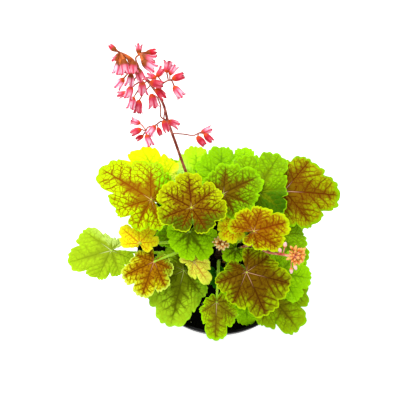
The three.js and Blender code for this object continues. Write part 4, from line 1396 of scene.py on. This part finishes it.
# %% [markdown]
# ## The young stalks
#
# A young stalk ends in a tight head of buds. The first is bent over and has a few larger buds that stand
# apart, and the second is short. A head could be strewn with buds at random, but a spiral that turns by the
# golden angle spreads them evenly, and each has a short stem of its own. A row's paint gives its buds their
# dark, light and tip colours, and its stem the two colours of the stalk. The first stalk's upper stretch
# lies up to about 3 mm further forward than in the plain model, so that it shows between the leaves.

# %% The young stalks
YOUNG_RADII = (1.3, 0.9)
BUD_LENGTH = 3.6
HEAD_FILL = 0.62
HEAD_CAP = 1.5
HEAD_STEM_RADII = (0.4, 0.3, 0.35)
APART_STEM_RADII = (0.45, 0.4, 0.45)
YOUNG_HAIRS = 160
YOUNG_HAIR_LENGTH = 1.1
GOLDEN_ANGLE = math.pi * (3 - math.sqrt(5))
BUD, YOUNG_STEM, YOUNG_HAIR = range(3)
YOUNG_STALKS = [
    {"name": "young_stalk_1", "head": (56, -24, 86), "spread": (8, 8, 6), "buds": 30,
     "paint": ("e07c1c", "fcc860", "f8b060"), "stem": ("c84834", "ffc0a0"),
     "apart": [(44, -21, 86), (47, -18, 87), (52, -32, 82), (54, -30, 84)],
     "points": [(11, -5, -5.5), (12, -5, 20), (18, -7, 50), (26, -13, 74), (36, -20, 80.5), (45, -22, 82.5),
                (52, -24, 84)]},
    {"name": "young_stalk_2", "head": (1, -9, 69), "spread": (8, 6, 6), "buds": 34, "apart": [],
     "paint": ("f09c28", "ffd468", "ffe8a0"), "stem": ("e08c30", "fcc870"),
     "points": [(4, -6, -5.5), (4, -7, 20), (2, -8, 44), (0, -9, 62)]},
]


def add_bud(bm, place, way, length, ripeness):
    """A closed bud: a ball drawn out to a point, with five shallow folds."""
    along = bm.verts.layers.float["along"]
    blush = bm.verts.layers.float["blush"]
    turn = Vector((0, 0, 1)).rotation_difference(way)
    made = bmesh.ops.create_uvsphere(bm, u_segments=10, v_segments=7, radius=1.0)
    for vert in made["verts"]:
        height = (vert.co.z + 1) / 2
        angle = math.atan2(vert.co.y, vert.co.x)
        width = 0.3 * (1 + 0.1 * math.cos(5 * angle)) * (1.25 - 0.5 * height)
        vert[along] = height
        vert[blush] = ripeness
        vert.co = Vector((vert.co.x * width, vert.co.y * width, height)) * length
    bmesh.ops.transform(bm, matrix=Matrix.LocRotScale(place, turn, None), verts=made["verts"])


def bud_finish(name, dark, light, end):
    recipe = Recipe(name + "_bud")
    along = recipe.attribute("along")
    blush = recipe.attribute("blush")
    place = recipe.object_place()
    mixed = recipe.ramp(recipe.noise(place, 260.0), 0.4, 0.62)
    base = recipe.mix(mixed, paint(dark), paint(light))
    tip = recipe.mix(recipe.ramp(blush, 0.3, 0.8), paint(end), paint("ffc8c8"))
    colour = recipe.mix(recipe.ramp(along + blush * 0.25, 0.4, 0.8), base, tip)
    return recipe.finish(colour, 0.55, recipe.bump(recipe.noise(place, 1500.0), 0.0002), specular=0.2)


def young_stalk(stalk):
    random.seed(len(stalk["points"]))
    bm = bmesh.new()
    for name in ("along", "blush"):
        bm.verts.layers.float.new(name)
    path = through(stalk["points"], CURVE_STEPS)
    radii = evenly(*YOUNG_RADII, len(path))
    draw_stem(bm, path, radii, STALK_SIDES, YOUNG_STEM)
    add_hairs(bm, path, radii, YOUNG_HAIRS, YOUNG_HAIR_LENGTH, YOUNG_HAIR)
    count = stalk["buds"]
    for i in range(count):
        high = 1 - HEAD_CAP * (i + 0.5) / count
        wide = math.sqrt(1 - high * high)
        way = turned(wide, GOLDEN_ANGLE * i, high)
        fill = HEAD_FILL * random.uniform(0.55, 1.1)
        place = Vector(stalk["head"]) + Vector(w * s for w, s in zip(way, stalk["spread"])) * fill
        start = path[-1 - (i % 3)]
        draw_stem(bm, [start, start.lerp(place, 0.6), place], HEAD_STEM_RADII, 5, YOUNG_STEM)
        add_bud(bm, place, way, BUD_LENGTH * random.uniform(0.7, 1.15), random.uniform(0, 0.4))
    for place in [Vector(apart) for apart in stalk["apart"]]:
        start = nearest(path, place)
        draw_stem(bm, [start, start.lerp(place, 0.6), place], APART_STEM_RADII, 6, YOUNG_STEM)
        add_bud(bm, place, (place - start).normalized(), 1.3 * BUD_LENGTH, random.uniform(0.8, 1.0))
    bmesh.ops.translate(bm, vec=(0, 0, SOIL_HEIGHT), verts=bm.verts)
    return bm


for stalk in YOUNG_STALKS:
    stem = plain_finish(stalk["name"] + "_stem", *stalk["stem"], 260.0, 0.5)
    bud_paints = [bud_finish(stalk["name"], *stalk["paint"]), stem, hair_paint]
    made = make_piece(stalk["name"] + "_with_buds", young_stalk(stalk), bud_paints, [stalk["name"]])
    print(made.name, len(made.data.polygons), "faces")
